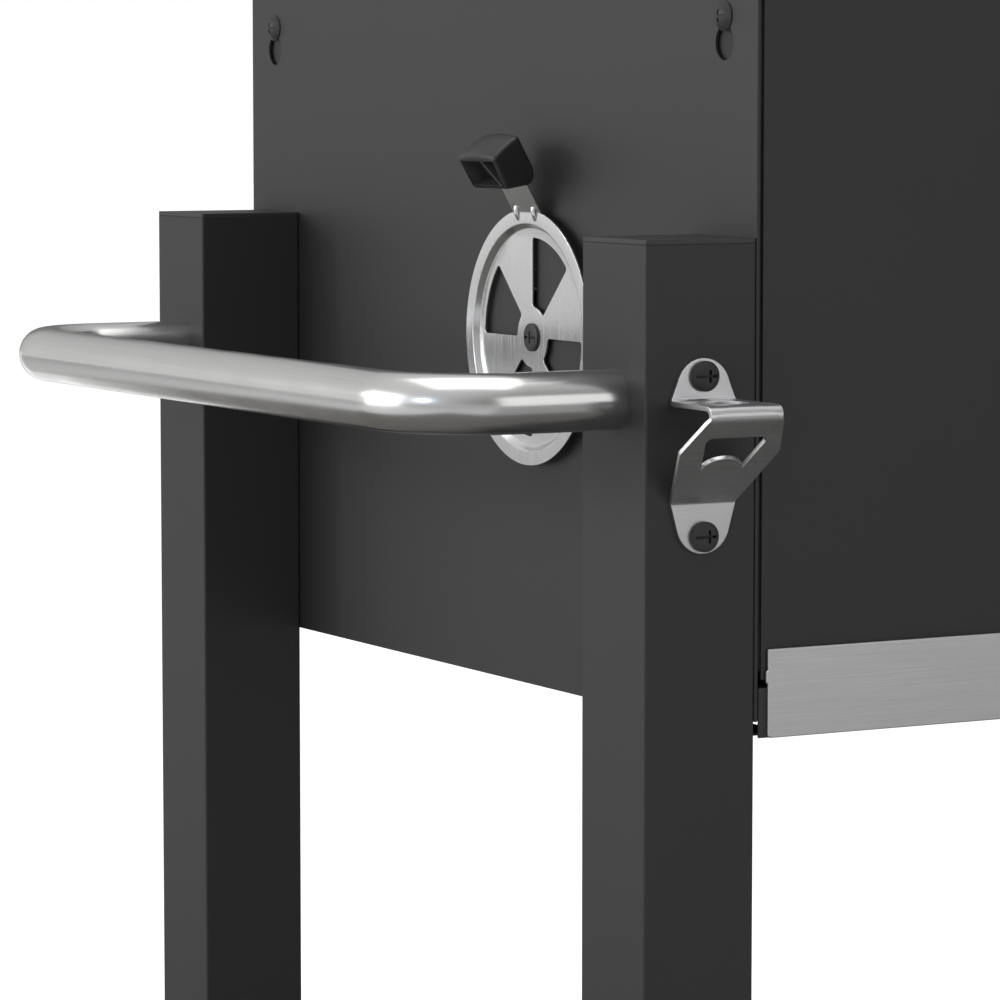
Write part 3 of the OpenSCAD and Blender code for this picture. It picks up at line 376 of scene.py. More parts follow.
knob_plastic = moulded("knob_plastic", (0.017, 0.017, 0.0175), roughness=0.4,
                       grain=0.3 * MM, depth=0.02 * MM)
cap_plastic = moulded("cap_plastic", (0.0215, 0.0215, 0.022), roughness=0.47,
                      grain=0.35 * MM, depth=0.012 * MM)
wheel_plastic = moulded("wheel_plastic", (0.03, 0.03, 0.031), roughness=0.42,
                        grain=0.5 * MM, depth=0.03 * MM)
tyre_rubber = rubber("tyre_rubber", (0.014, 0.014, 0.014), roughness=0.78, dust=0.35)
foot_rubber = rubber("foot_rubber", (0.013, 0.013, 0.013), roughness=0.72, dust=0.2)
black_rod = powder_coat("black_rod", (0.017, 0.017, 0.0175), roughness=0.38, grain=0.6 * MM)
grate_enamel = heat_paint("grate_enamel", (0.021, 0.0205, 0.02), roughness=0.42)
print("finishes:", len(bpy.data.materials))

# %% [markdown]
# Every finished piece goes through one function. It puts the mesh in the scene with
# its object at the origin, because the place of a piece lies in its mesh, shades it
# smooth between sharp edges, gives it its finish, hides the solids that it stands
# for, and says which body carries it.

# %% Place a finished piece
body_of = {node: body for body, nodes in frame["record"]["behaviour"]["bodies"].items()
           for node in nodes}
slot_of = {row["node"]: row["material_slot"] for row in frame["record"]["subparts"]}
dressed = set()


def place(name, mesh, finish, *nodes, smooth=30):
    """Makes a piece that stands for one or more CAD nodes of the same body."""
    mesh.name = name
    mesh.materials.clear()
    mesh.materials.append(finish)
    if smooth:
        mesh.shade_smooth()
        mesh.set_sharp_from_angle(angle=math.radians(smooth))
    piece = bpy.data.objects.new(name, mesh)
    bpy.context.scene.collection.objects.link(piece)
    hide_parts(*nodes)
    dressed.update(nodes)
    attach(piece, body_of[nodes[0]])
    mesh.calc_loop_triangles()
    print(f"{name}: {len(mesh.loop_triangles)} triangles, on {body_of[nodes[0]]}")


def to_mesh(bm, name):
    """A mesh with what was edited. The edit mesh itself is freed."""
    mesh = bpy.data.meshes.new(name)
    bm.to_mesh(mesh)
    bm.free()
    return mesh


def evaluated(obj):
    """The object's mesh with its modifiers applied. The object itself is removed."""
    graph = bpy.context.evaluated_depsgraph_get()
    mesh = bpy.data.meshes.new_from_object(obj.evaluated_get(graph))
    bpy.data.objects.remove(obj)
    return mesh


def with_modifiers(mesh, *steps):
    """Runs a list of (kind, settings) modifiers on a mesh and returns the result."""
    obj = bpy.data.objects.new("work", mesh)
    bpy.context.scene.collection.objects.link(obj)
    for kind, settings in steps:
        modifier = obj.modifiers.new(kind.title(), kind)
        for key, value in settings.items():
            setattr(modifier, key, value)
    return evaluated(obj)


def rounded(radius, segments=2, angle=35):
    """Settings of a Bevel modifier that rounds the sharp edges only."""
    return ("BEVEL", {"width": radius, "segments": segments, "limit_method": "ANGLE",
                      "angle_limit": math.radians(angle), "use_clamp_overlap": False})


# A small rounding must not bend the shading of the wide flat face beside it, so the
# largest faces decide the normals.
FLAT_STAYS_FLAT = ("WEIGHTED_NORMAL", {"weight": 100, "keep_sharp": True})


# %% [markdown]
# No edge of a real sheet or tube is perfectly sharp. A cut and coated edge has a
# radius of a few tenths of a millimetre, and the thin light line along it is what
# tells the eye that the metal has a thickness. So each plain solid of sheet, tube or
# plastic is copied, welded and given that small radius by a Bevel modifier.

# %% Round the edges of sheet and tube
def soften(node, finish, radius, segments=2):
    """A piece that is the node's own shape with rounded edges."""
    mesh = to_mesh(merged_copy(node), node)
    mesh.shade_smooth()
    mesh = with_modifiers(mesh, rounded(radius, segments), FLAT_STAYS_FLAT)
    place(node + "_edged", mesh, finish, node, smooth=None)


# Finish, radius of the edges, and the nodes that get them
SOFT_EDGES = (
    (coated, 0.35 * MM, ("side_panel_left", "side_panel_right", "front_panel", "back_panel")),
    (coated, 0.22 * MM, ("leg_front_left", "leg_rear_left", "leg_front_right",
                         "leg_rear_right")),
    (coated, 0.4 * MM, ("bottom_shelf",)),
    (cap_plastic, 0.25 * MM, ("leg_caps", "leg_bottom_caps")),
    (foot_rubber, 0.8 * MM, ("foot_pads",)),
    (coated, 0.3 * MM, ("shelf_cross_bars", "shelf_end_bars")),
    (painted, 0.3 * MM, ("firebox_tub", "drawer_tray", "drawer_runners", "grate_rails",
                         "pan_brackets", "charcoal_pan")),
)
for finish, radius, nodes in SOFT_EDGES:
    for node in nodes:
        soften(node, finish, radius)

# %% [markdown]
# What repeats on the grill, its screws, nuts, grate bars, tread blocks and ribs, is
# grown by Geometry Nodes, and so is each bent tube, because its shape follows a
# path. A tree is built once in the script with named sizes, and then run on points
# or on a path for each node that it serves. The result is turned into a plain mesh,
# because an export drops instances.

# %% Helpers for Geometry Nodes
SOCKETS = {float: "NodeSocketFloat", int: "NodeSocketInt"}


class Growth:
    """A Geometry Nodes tree that is being built. Its sizes are named inputs."""

    def __init__(self, name, **sizes):
        self.tree = bpy.data.node_groups.new(name, "GeometryNodeTree")
        sockets = self.tree.interface
        sockets.new_socket("Geometry", in_out="INPUT", socket_type="NodeSocketGeometry")
        for label, kind in sizes.items():
            sockets.new_socket(label, in_out="INPUT", socket_type=SOCKETS[kind])
        sockets.new_socket("Material", in_out="INPUT", socket_type="NodeSocketMaterial")
        sockets.new_socket("Geometry", in_out="OUTPUT", socket_type="NodeSocketGeometry")
        self.given = self.tree.nodes.new("NodeGroupInput").outputs

    def add(self, kind, settings=None, **inputs):
        """A node with its settings and inputs. Returns its first output."""
        return add_node(self.tree, kind, settings, **inputs).outputs[0]

    def math(self, operation, first, second=0.0):
        made = add_node(self.tree, "ShaderNodeMath", {"operation": operation})
        put(self.tree, made.inputs[0], first)
        put(self.tree, made.inputs[1], second)
        return made.outputs[0]

    def times(self, first, second):
        return self.math("MULTIPLY", first, second)

    def vector(self, x=0.0, y=0.0, z=0.0):
        return self.add("ShaderNodeCombineXYZ", X=x, Y=y, Z=z)

    def boolean(self, operation, first, *others):
        made = add_node(self.tree, "GeometryNodeMeshBoolean",
                        {"operation": operation, "solver": "EXACT"})
        if operation == "DIFFERENCE":
            self.tree.links.new(first, made.inputs["Mesh 1"])
        else:
            others = (*others, first)
        for other in others:
            self.tree.links.new(other, made.inputs["Mesh 2"])
        return made.outputs[0]

    def cylinder(self, radius, depth, base_z=0.0, sides=32, rings=1):
        """A cylinder along Z that stands on base_z."""
        body = self.add("GeometryNodeMeshCylinder", Vertices=sides, Fill_Segments=rings,
                        Radius=radius, Depth=depth)
        lift = self.math("ADD", self.times(depth, 0.5), base_z)
        return self.add("GeometryNodeTransform", Geometry=body,
                        Translation=self.vector(z=lift))

    def on_points(self, piece, **rotation):
        """The piece on every point that the tree is given."""
        return self.add("GeometryNodeInstanceOnPoints", Points=self.given["Geometry"],
                        Instance=piece, **rotation)

    def finish(self, geometry):
        """Realizes what is instanced, sets the material and ends the tree."""
        real = self.add("GeometryNodeRealizeInstances", Geometry=geometry)
        done = self.add("GeometryNodeSetMaterial", Geometry=real,
                        Material=self.given["Material"])
        out = self.tree.nodes.new("NodeGroupOutput")
        self.tree.links.new(done, out.inputs["Geometry"])
        print("tree", self.tree.name, "with", len(self.tree.nodes), "nodes")
        return self.tree


# %% Helpers: run a tree, and what it runs on
def grow(tree, seed_mesh, finish, **sizes):
    """Runs a tree on a mesh of points or lines and returns what grows as a plain mesh."""
    obj = bpy.data.objects.new("seed", seed_mesh)
    bpy.context.scene.collection.objects.link(obj)
    modifier = obj.modifiers.new("grow", "NODES")
    modifier.node_group = tree
    for item in tree.interface.items_tree:
        if item.in_out == "INPUT" and item.name in sizes:
            modifier[item.identifier] = sizes[item.name]
        if item.in_out == "INPUT" and item.name == "Material":
            modifier[item.identifier] = finish
    return evaluated(obj)


def seeds(points, facings=()):
    """A mesh of loose points, each with the direction that its piece looks in."""
    mesh = bpy.data.meshes.new("seeds")
    mesh.from_pydata([tuple(p) for p in points], [], [])
    if facings:
        attribute = mesh.attributes.new("facing", "FLOAT_VECTOR", "POINT")
        for item, facing in zip(attribute.data, facings):
            item.vector = facing
    return mesh


def line_mesh(points, closed=False):
    """A mesh that holds one line through the points."""
    mesh = bpy.data.meshes.new("line")
    edges = [(i, i + 1) for i in range(len(points) - 1)]
    if closed:
        edges.append((len(points) - 1, 0))
    mesh.from_pydata([tuple(p) for p in points], edges, [])
    return mesh


def facing_rotation(growth, aside=(0, 0, 1)):
    """Turns an instance so that its Z looks along the point's facing and its X aside."""
    facing = growth.add("GeometryNodeInputNamedAttribute", {"data_type": "FLOAT_VECTOR"},
                        Name="facing")
    return growth.add("FunctionNodeAxesToRotation",
                      {"primary_axis": "Z", "secondary_axis": "X"},
                      Primary_Axis=facing, Secondary_Axis=aside)


# %% [markdown]
# The screws have a recess for two sorts of driver: a long slot, and a short cross bar
# through it. The head is a cylinder whose top is drawn down towards the rim by a
# formula: a high power leaves it flat with a soft edge, and a low one makes it a
# mushroom. The shank is added by a union, and the recess is cut out. One instance
# goes on each point.

# %% Tree: screw
HEAD_SIDES, HEAD_RINGS = 48, 8
SHANK_IN_HEAD_SHARE = 0.3


def screw_tree():
    """A screw on each point."""
    sizes = ("Head Diameter", "Head Height", "Rim Drop", "Rim Power", "Shank Diameter",
             "Shank Length", "Slot Length", "Cross Length", "Cross Shift", "Recess Width",
             "Recess Depth")
    growth = Growth("screw", **dict.fromkeys(sizes, float))
    given = growth.given
    radius = growth.times(given["Head Diameter"], 0.5)
    head = growth.cylinder(radius, given["Head Height"], sides=HEAD_SIDES, rings=HEAD_RINGS)
    point = add_node(growth.tree, "ShaderNodeSeparateXYZ",
                     Vector=growth.add("GeometryNodeInputPosition")).outputs
    from_axis = growth.math("SQRT", growth.math(
        "ADD", growth.math("POWER", point["X"], 2.0), growth.math("POWER", point["Y"], 2.0)))
    reach = growth.math("DIVIDE", from_axis, radius)
    drop = growth.times(growth.math("POWER", reach, given["Rim Power"]),
                        growth.times(given["Rim Drop"], -1.0))
    head = growth.add("GeometryNodeSetPosition", Geometry=head,
                      Offset=growth.vector(z=growth.times(drop, point["Z"])))
    inside = growth.times(given["Head Height"], SHANK_IN_HEAD_SHARE)
    shank = growth.cylinder(growth.times(given["Shank Diameter"], 0.5),
                            growth.math("ADD", given["Shank Length"], inside),
                            base_z=growth.times(given["Shank Length"], -1.0))
    solid = growth.boolean("UNION", head, shank)
    deep = growth.times(given["Recess Depth"], 2.0)
    cuts = []
    for x, y, aside in ((given["Recess Width"], given["Slot Length"], 0.0),
                        (given["Cross Length"], given["Recess Width"], given["Cross Shift"])):
        bar = growth.add("GeometryNodeMeshCube", Size=growth.vector(x, y, deep))
        cuts.append(growth.add("GeometryNodeTransform", Geometry=bar,
                               Translation=growth.vector(y=aside, z=given["Head Height"])))
    solid = growth.boolean("DIFFERENCE", solid, *cuts)
    return growth.finish(growth.on_points(solid, Rotation=facing_rotation(growth)))


SCREW = screw_tree()

# %% [markdown]
# The island boxes of a fastener node tell where its screws are. A box has two equal
# sides, as wide as the head, and the third lies along the screw. The head is on the
# side that the list below names: away from the body's middle, towards it, or in a
# fixed direction. The heads that the panels hang on are mushrooms, and the others are
# flat. On the opener's screws the cross bar passes the slot beside its middle.

# %% Screws of the whole grill
SHANK_SHARE, SLOT_SHARE, CROSS_SHARE = 0.5, 0.8, 0.42
RECESS_W, RECESS_DEEP = 1.1 * MM, 1.7 * MM
FLAT = {"Head Height": 2.4 * MM, "Rim Drop": 0.22, "Rim Power": 8.0, "Cross Shift": 0.0}
OPENER_FLAT = {**FLAT, "Cross Shift": -1.6 * MM}
MUSHROOM = {"Head Height": 3.3 * MM, "Rim Drop": 0.85, "Rim Power": 2.2, "Cross Shift": 0.0}


def side_of(low, high, axis):
    """1 for a box that lies beyond the body's middle along an axis, and -1 before it."""
    return 1 if (low[axis] + high[axis]) / 2 > (middle_x, 0, 0)[axis] else -1


def head_ends(node, facing, head_h):
    """Seat and direction of each head, the length of the shank and the head's width."""
    seats, facings, shanks, widths = [], [], [], []
    for low, high in islands(node):
        size = high - low
        axis = max(range(3), key=lambda i: min(abs(size[i] - size[j]) for j in range(3) if j != i))
        outward = side_of(low, high, axis)
        sign = {"out": outward, "in": -outward}.get(facing, facing)
        seat = (low + high) / 2
        seat[axis] = (high if sign > 0 else low)[axis] - sign * head_h
        seats.append(seat)
        facings.append([sign if i == axis else 0 for i in range(3)])
        shanks.append(size[axis] - head_h)
        widths.append(sorted(size)[1])
    return seats, facings, shanks[0], widths[0]


# Node, side of the heads, finish, and form of the head
SCREWS = (("hook_screws", "out", black_plated, MUSHROOM),
          ("damper_bolts", "out", black_plated, FLAT),
          ("opener_screws", -1, black_plated, OPENER_FLAT),
          ("leg_bolts", "in", zinc_plated, FLAT),
          ("shelf_bolts", "in", zinc_plated, FLAT),
          ("handle_bolts", "in", zinc_plated, FLAT),
          ("pull_screws", 1, zinc_plated, FLAT))
for node, facing, finish, form in SCREWS:
    seats, facings, length, head_d = head_ends(node, facing, form["Head Height"])
    sizes = {"Head Diameter": head_d, **form,
             "Shank Diameter": head_d * SHANK_SHARE, "Shank Length": length,
             "Slot Length": head_d * SLOT_SHARE, "Cross Length": head_d * CROSS_SHARE,
             "Recess Width": RECESS_W, "Recess Depth": RECESS_DEEP}
    place(node + "_cut", grow(SCREW, seeds(seats, facings), finish, **sizes), finish, node)

# %% [markdown]
# A hexagon nut is turned from hexagon bar, so its corners are cut off by a flat cone.
# That is what the tree does: a prism with six sides, the common volume with a cone,
# and a bore.

# %% Tree: nut
CONE_TOP_SHARE, CONE_SIDES = 0.475, 40


def nut_tree():
    """A hexagon nut on each point."""
    growth = Growth("nut", Flats=float, Height=float, Bore=float)
    flats, height, bore_d = (growth.given[name] for name in ("Flats", "Height", "Bore"))
    prism = growth.cylinder(growth.times(flats, 1 / math.sqrt(3)), height, sides=6)
    top = growth.times(flats, CONE_TOP_SHARE)
    slope = growth.times(height, math.sqrt(3))
    cone = growth.add("GeometryNodeMeshCone", Vertices=CONE_SIDES, Radius_Top=top,
                      Radius_Bottom=growth.math("ADD", top, slope), Depth=height)
    turned = growth.boolean("INTERSECT", prism, cone)
    bore = growth.cylinder(growth.times(bore_d, 0.5), growth.times(height, 2.0),
                           base_z=growth.times(height, -0.5))
    nut = growth.boolean("DIFFERENCE", turned, bore)
    return growth.finish(growth.on_points(nut, Rotation=facing_rotation(growth)))


NUT = nut_tree()

# %% Nuts inside the firebox
NUT_H, M5_BORE, M6_BORE = 5 * MM, 5.2 * MM, 6.2 * MM
for node, bore in (("panel_nuts", M5_BORE), ("hook_nuts", M6_BORE), ("damper_nuts", M6_BORE)):
    seats, facings = [], []
    for low, high in islands(node):
        size = high - low
        axis = min(range(3), key=lambda i: size[i])
        sign = -side_of(low, high, axis)
        seat = (low + high) / 2
        seat[axis] = (low if sign > 0 else high)[axis]
        seats.append(seat)
        facings.append([sign if i == axis else 0 for i in range(3)])
    flats = sorted(size)[1]
    mesh = grow(NUT, seeds(seats, facings), zinc_plated, Flats=flats, Height=NUT_H, Bore=bore)
    place(node + "_turned", mesh, zinc_plated, node)

# %% [markdown]
# The push handle, the drawer's pull and the frame of each grate are bent from tube
# or rod. The tree takes a line with sharp corners, rounds the corners to the radius
# of the bending tool and sweeps a circle along the result. The ends of the handle
# stand flat against the legs.

# %% Tree: bent tube
def tube_tree():
    """A tube along a line whose corners are bent."""
    growth = Growth("bent_tube", **{"Bend Radius": float, "Bend Steps": int,
                                    "Tube Diameter": float, "Tube Sides": int})
    given = growth.given
    path = growth.add("GeometryNodeMeshToCurve", Mesh=given["Geometry"])
    path = growth.add("GeometryNodeFilletCurve", {"mode": "POLY"}, Curve=path,
                      Count=given["Bend Steps"], Radius=given["Bend Radius"])
    ring = growth.add("GeometryNodeCurvePrimitiveCircle", Resolution=given["Tube Sides"],
                      Radius=growth.times(given["Tube Diameter"], 0.5))
    tube = growth.add("GeometryNodeCurveToMesh", Curve=path, Profile_Curve=ring,
                      Fill_Caps=True)
    return growth.finish(tube)


TUBE = tube_tree()


def bent_tube(line, finish, bend_r, steps, diameter, sides):
    """A tube along a line, with every corner bent to one radius."""
    return grow(TUBE, line, finish, **{"Bend Radius": bend_r, "Bend Steps": steps,
                                       "Tube Diameter": diameter, "Tube Sides": sides})


# %% The push handle and the drawer's pull
grip_low, grip_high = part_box("handle_tube")
handle_d = grip_high.z - grip_low.z
handle_z = (grip_low.z + grip_high.z) / 2
grip_x = grip_low.x + handle_d / 2
end_y = grip_high.y - handle_d / 2
handle_line = line_mesh([(leg_low.x, -end_y, handle_z), (grip_x, -end_y, handle_z),
                         (grip_x, end_y, handle_z), (leg_low.x, end_y, handle_z)])
handle = bent_tube(handle_line, tube_steel, bend_r=38 * MM, steps=32, diameter=handle_d,
                   sides=72)
place("push_handle", handle, tube_steel, "handle_tube")

pull_low, pull_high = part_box("drawer_pull")
pull_d = pull_high.z - pull_low.z
pull_z = (pull_low.z + pull_high.z) / 2
pull_x = (pull_low.x + pull_d / 2, pull_high.x - pull_d / 2)
rod_y = pull_low.y + pull_d / 2
pull_line = line_mesh([(pull_x[0], pull_high.y, pull_z), (pull_x[0], rod_y, pull_z),
                       (pull_x[1], rod_y, pull_z), (pull_x[1], pull_high.y, pull_z)])
pull = bent_tube(pull_line, black_rod, bend_r=9 * MM, steps=12, diameter=pull_d, sides=32)
place("drawer_bow", pull, black_rod, "drawer_pull")

# %% [markdown]
# A grate is a closed frame of rod with thinner bars welded across it. The frame is
# the bent tube again, on a closed line, and the bars are one line of points with a
# rod on each. The frame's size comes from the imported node. Its rods' diameters and
# the number of bars are repeated here, because a box doesn't tell them.

# %% Tree: bars of a grate
def bars_tree():
    """The bars of a grate, side by side."""
    growth = Growth("grate_bars", **{"Width": float, "Depth": float, "Bars": int,
                                     "Bar Diameter": float, "Bar Sides": int})
    given = growth.given
    step = growth.math("DIVIDE", given["Width"], growth.math("ADD", given["Bars"], 1.0))
    first = growth.math("SUBTRACT", step, growth.times(given["Width"], 0.5))
    half = growth.times(given["Depth"], 0.5)
    row = growth.add("GeometryNodeMeshLine", Count=given["Bars"],
                     Start_Location=growth.vector(x=first), Offset=growth.vector(x=step))
    rod = growth.add("GeometryNodeCurvePrimitiveLine", End=growth.vector(y=half),
                     Start=growth.vector(y=growth.times(half, -1.0)))
    ring = growth.add("GeometryNodeCurvePrimitiveCircle", Resolution=given["Bar Sides"],
                      Radius=growth.times(given["Bar Diameter"], 0.5))
    bar = growth.add("GeometryNodeCurveToMesh", Curve=rod, Profile_Curve=ring, Fill_Caps=True)
    return growth.finish(growth.add("GeometryNodeInstanceOnPoints", Points=row, Instance=bar))


BARS = bars_tree()

# %% The three grates
BAR_D, FRAME_STEPS, FRAME_SIDES, BAR_SIDES = 5 * MM, 8, 16, 12


def merged(*meshes):
    """Several meshes as one."""
    bm = bmesh.new()
    for mesh in meshes:
        bm.from_mesh(mesh)
    return to_mesh(bm, "merged")


def grate(node, frame_d, bars, corner_r):
    """A frame of rod with bars across it, in the place of a grate's solid."""
    low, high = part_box(node)
    width, depth = high.x - low.x - frame_d, high.y - low.y - frame_d
    corners = [(x * width / 2, y * depth / 2, 0) for x, y in ((-1, -1), (1, -1), (1, 1), (-1, 1))]
    frame_rod = bent_tube(line_mesh(corners, closed=True), grate_enamel, corner_r, FRAME_STEPS,
                          frame_d, FRAME_SIDES)
    rods = grow(BARS, seeds([(0, 0, 0)]), grate_enamel, **{
        "Width": width, "Depth": depth, "Bars": bars, "Bar Diameter": BAR_D,
        "Bar Sides": BAR_SIDES})
    mesh = merged(frame_rod, rods)
    middle = (low + high) / 2
    middle.z = low.z + frame_d / 2
    mesh.transform(Matrix.Translation(middle))
    place(node + "_welded", mesh, grate_enamel, node)


for node in ("cooking_grate_left", "cooking_grate_right"):
    grate(node, frame_d=8 * MM, bars=17, corner_r=12 * MM)
grate("charcoal_grate", frame_d=6 * MM, bars=25, corner_r=10 * MM)

# %% [markdown]
# The opener and the dampers are bent from sheet. A sheet-metal worker draws the flat
# blank first, with its holes, and then bends it, and these pieces are made the same
# way: an outline with rounded corners is filled, cut along the lines where it will
# bend, and each point is then carried along the bent side view. A Solidify modifier
# gives the thickness and a small Bevel takes off the edges.

# %% Helpers: outlines
def arc(center, radius, start, stop, steps):
    """Points on an arc, between two angles in degrees."""
    angles = [math.radians(start + (stop - start) * i / steps) for i in range(steps + 1)]
    return [(center[0] + radius * math.cos(a), center[1] + radius * math.sin(a)) for a in angles]


def circle(center, radius, steps):
    """Points around a circle, with none twice."""
    return arc(center, radius, 0, 360, steps)[:-1]


def rounded_loop(corners, steps=5):
    """A closed outline from corners (x, y, radius)."""
    loop = []
    for i, (x, y, radius) in enumerate(corners):
        here = Vector((x, y))
        if radius == 0:
            loop.append((x, y))
            continue
        back = (Vector(corners[i - 1][:2]) - here).normalized()
        ahead = (Vector(corners[(i + 1) % len(corners)][:2]) - here).normalized()
        half = back.angle(ahead) / 2
        center = here + (back + ahead).normalized() * radius / math.sin(half)
        start = here + back * radius / math.tan(half) - center
        stop = here + ahead * radius / math.tan(half) - center
        for k in range(steps + 1):
            spoke = start.lerp(stop, k / steps).normalized() * radius
            loop.append(tuple(center + spoke))
    return loop


# %% Helpers: side view of a bent sheet
class Bends:
    """The side view of a bent sheet: a line with rounded corners, as (out, up)."""

    def __init__(self, points, radii):
        self.points = [Vector(p) for p in points]
        self.radii = radii
        self.starts = [0.0]
        for first, second in zip(self.points, self.points[1:]):
            self.starts.append(self.starts[-1] + (second - first).length)

    def corner(self, i):
        """Directions before and after a corner, its angle, and how far its arc reaches."""
        before = (self.points[i] - self.points[i - 1]).normalized()
        after = (self.points[i + 1] - self.points[i]).normalized()
        turn = before.angle(after)
        return before, after, turn, self.radii[i - 1] * math.tan(turn / 2)

    def at(self, along):
        """The place (out, up) of a point of the flat strip."""
        for i in range(1, len(self.points) - 1):
            before, after, turn, reach = self.corner(i)
            if abs(along - self.starts[i]) < reach:
                angle = turn * (along - self.starts[i] + reach) / (2 * reach)
                inward = (after - before * math.cos(turn)) / math.sin(turn)
                radius = self.radii[i - 1]
                return (self.points[i] - before * reach + before * radius * math.sin(angle)
                        + inward * radius * (1 - math.cos(angle)))
        for i in range(len(self.points) - 1):
            if along <= self.starts[i + 1] or i == len(self.points) - 2:
                direction = (self.points[i + 1] - self.points[i]).normalized()
                return self.points[i] + direction * (along - self.starts[i])

    def seams(self, steps=6):
        """Where along the strip it is cut, so that it can follow the bends."""
        lines = []
        for i in range(1, len(self.points) - 1):
            reach = self.corner(i)[3]
            lines += [self.starts[i] + reach * (2 * k / steps - 1) for k in range(steps + 1)]
        return lines


# %% Helpers: blank and thickness
CUT_WITHIN, SAME_POINT = 0.001 * MM, 0.12 * MM


def blank(loops, seams=()):
    """A flat sheet with holes, cut along its bending lines. Its plane is (across, along)."""
    bm = bmesh.new()
    for loop in loops:
        verts = [bm.verts.new((x, y, 0)) for x, y in loop]
        for first, second in zip(verts, verts[1:] + verts[:1]):
            bm.edges.new((first, second))
    bmesh.ops.triangle_fill(bm, use_beauty=True, edges=bm.edges[:])
    for along in seams:
        bmesh.ops.bisect_plane(bm, geom=bm.verts[:] + bm.edges[:] + bm.faces[:],
                               dist=CUT_WITHIN, plane_co=(0, along, 0), plane_no=(0, 1, 0))
    bmesh.ops.remove_doubles(bm, verts=bm.verts, dist=SAME_POINT)
    return bm


def thicken(bm, thickness, outward, edge):
    """Turns the skin to face outward and adds the sheet's thickness behind it."""
    bmesh.ops.recalc_face_normals(bm, faces=bm.faces)
    total = sum((face.normal * face.calc_area() for face in bm.faces), Vector())
    if total.dot(Vector(outward)) < 0:
        bmesh.ops.reverse_faces(bm, faces=bm.faces[:])
    mesh = to_mesh(bm, "skin")
    mesh.shade_smooth()
    return with_modifiers(mesh, ("SOLIDIFY", {"thickness": thickness, "offset": -1,
                                              "use_even_offset": True}),
                          rounded(edge, angle=50), FLAT_STAYS_FLAT)


# %% [markdown]
# The opener goes down flat on the leg, out as a shelf with a round hole, slanting
# back as a plate with two ears and a window, and flat on the leg again. The tongue in
# the window is what grips the cap. All along it is one strip 2 mm thick.

# %% Bottle opener: side view
OPENER_T = 2.0 * MM
SHELF_DOWN, FOOT_UP = 16.4 * MM, 20 * MM
SHELF_BEND, FOLD_BEND, FOOT_BEND = 1.2 * MM, 4.0 * MM, 1.5 * MM
opener_low, opener_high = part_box("bottle_opener")
shelf_at = opener_high.z - SHELF_DOWN
foot_at = opener_low.z + FOOT_UP
opener_bends = Bends(
    [(OPENER_T, opener_high.z), (OPENER_T, shelf_at), (front_y - opener_low.y, shelf_at),
     (OPENER_T, foot_at), (OPENER_T, opener_low.z)], [SHELF_BEND, FOLD_BEND, FOOT_BEND])
shelf_in, fold_in, foot_in, low_end = opener_bends.starts[1:]
fold_reach = opener_bends.corner(2)[3]
print("the opener's strip is", round(low_end / MM, 1), "mm long before it is bent")


def plate_at(down):
    """Where along the strip the front plate is that far below the shelf."""
    return fold_in + (foot_in - fold_in) * down / (shelf_at - foot_at)


# %% [markdown]
# The flat outline of the opener has two round tips, for the two screws. Between them
# it widens in steps: a little at the shelf, and most at the ears of the front plate.
# Only its right half is drawn, and the left half is that half mirrored.

# %% Bottle opener: outline
TIP_R, TIP_START, TIP_STEPS = 12 * MM, 15, 14
TAB_SIDE, FOLD_SIDE, EAR_SIDE = 14.7 * MM, 16.2 * MM, 22.5 * MM
EAR_DOWN, EAR_R = 19 * MM, 3 * MM
BELOW_FOLD_SHARE = 2 / 3
side = [(TAB_SIDE, shelf_in, 0), (FOLD_SIDE, fold_in - fold_reach, 0),
        (FOLD_SIDE, fold_in + fold_reach * BELOW_FOLD_SHARE, 0),
        (EAR_SIDE, plate_at(EAR_DOWN), EAR_R), (TAB_SIDE, foot_in, 0)]
upper = arc((0, TIP_R), TIP_R, -90, -TIP_START, TIP_STEPS)
middle = rounded_loop([(0, shelf_in, 0), *side, (0, foot_in, 0)])[1:-1]
lower = arc((0, low_end - TIP_R), TIP_R, TIP_START, 90, TIP_STEPS)
right_side = upper + middle + lower
outline = right_side + [(-x, y) for x, y in reversed(right_side[1:-1])]
print("outline of the opener:", len(outline), "points")

# %% Bottle opener: openings, bend and thickness
WINDOW_DOWN, WINDOW_LOW_DOWN, TONGUE_DOWN = 12.8 * MM, 26 * MM, 21.5 * MM
WINDOW_SIDE, WINDOW_LOW_SIDE, WINDOW_R = 14.2 * MM, 9.3 * MM, 2.5 * MM
TONGUE_SIDE, TONGUE_STEPS = 9.2 * MM, 16
HOLE_R, HOLE_OUT, HOLE_STEPS = 10 * MM, 14.2 * MM, 40
BOLT_R, BOLT_DOWN, BOLT_UP, BOLT_STEPS = 3.1 * MM, 7 * MM, 6.8 * MM, 24
OPENER_EDGE = 0.25 * MM
window_top, window_low = plate_at(WINDOW_DOWN), plate_at(WINDOW_LOW_DOWN)
tongue_rise = window_low - plate_at(TONGUE_DOWN)
tongue = [(TONGUE_SIDE * math.cos(a), window_low - tongue_rise * math.sin(a))
          for a in [math.pi * i / TONGUE_STEPS for i in range(TONGUE_STEPS + 1)]]
window = rounded_loop([(-WINDOW_LOW_SIDE, window_low, 0), (-WINDOW_SIDE, window_top, WINDOW_R),
                       (WINDOW_SIDE, window_top, WINDOW_R), (WINDOW_LOW_SIDE, window_low, 0)])
window = window[1:-1] + tongue
shelf_hole = circle((0, shelf_in + HOLE_OUT), HOLE_R, HOLE_STEPS)
bolt_holes = [circle((0, at), BOLT_R, BOLT_STEPS) for at in (BOLT_DOWN, low_end - BOLT_UP)]
opener = blank([outline, window, shelf_hole, *bolt_holes], opener_bends.seams())
opener_x = (leg_low.x + leg_high.x) / 2
for vert in opener.verts:
    out, up = opener_bends.at(vert.co.y)
    vert.co = (opener_x + vert.co.x, front_y - out, up)
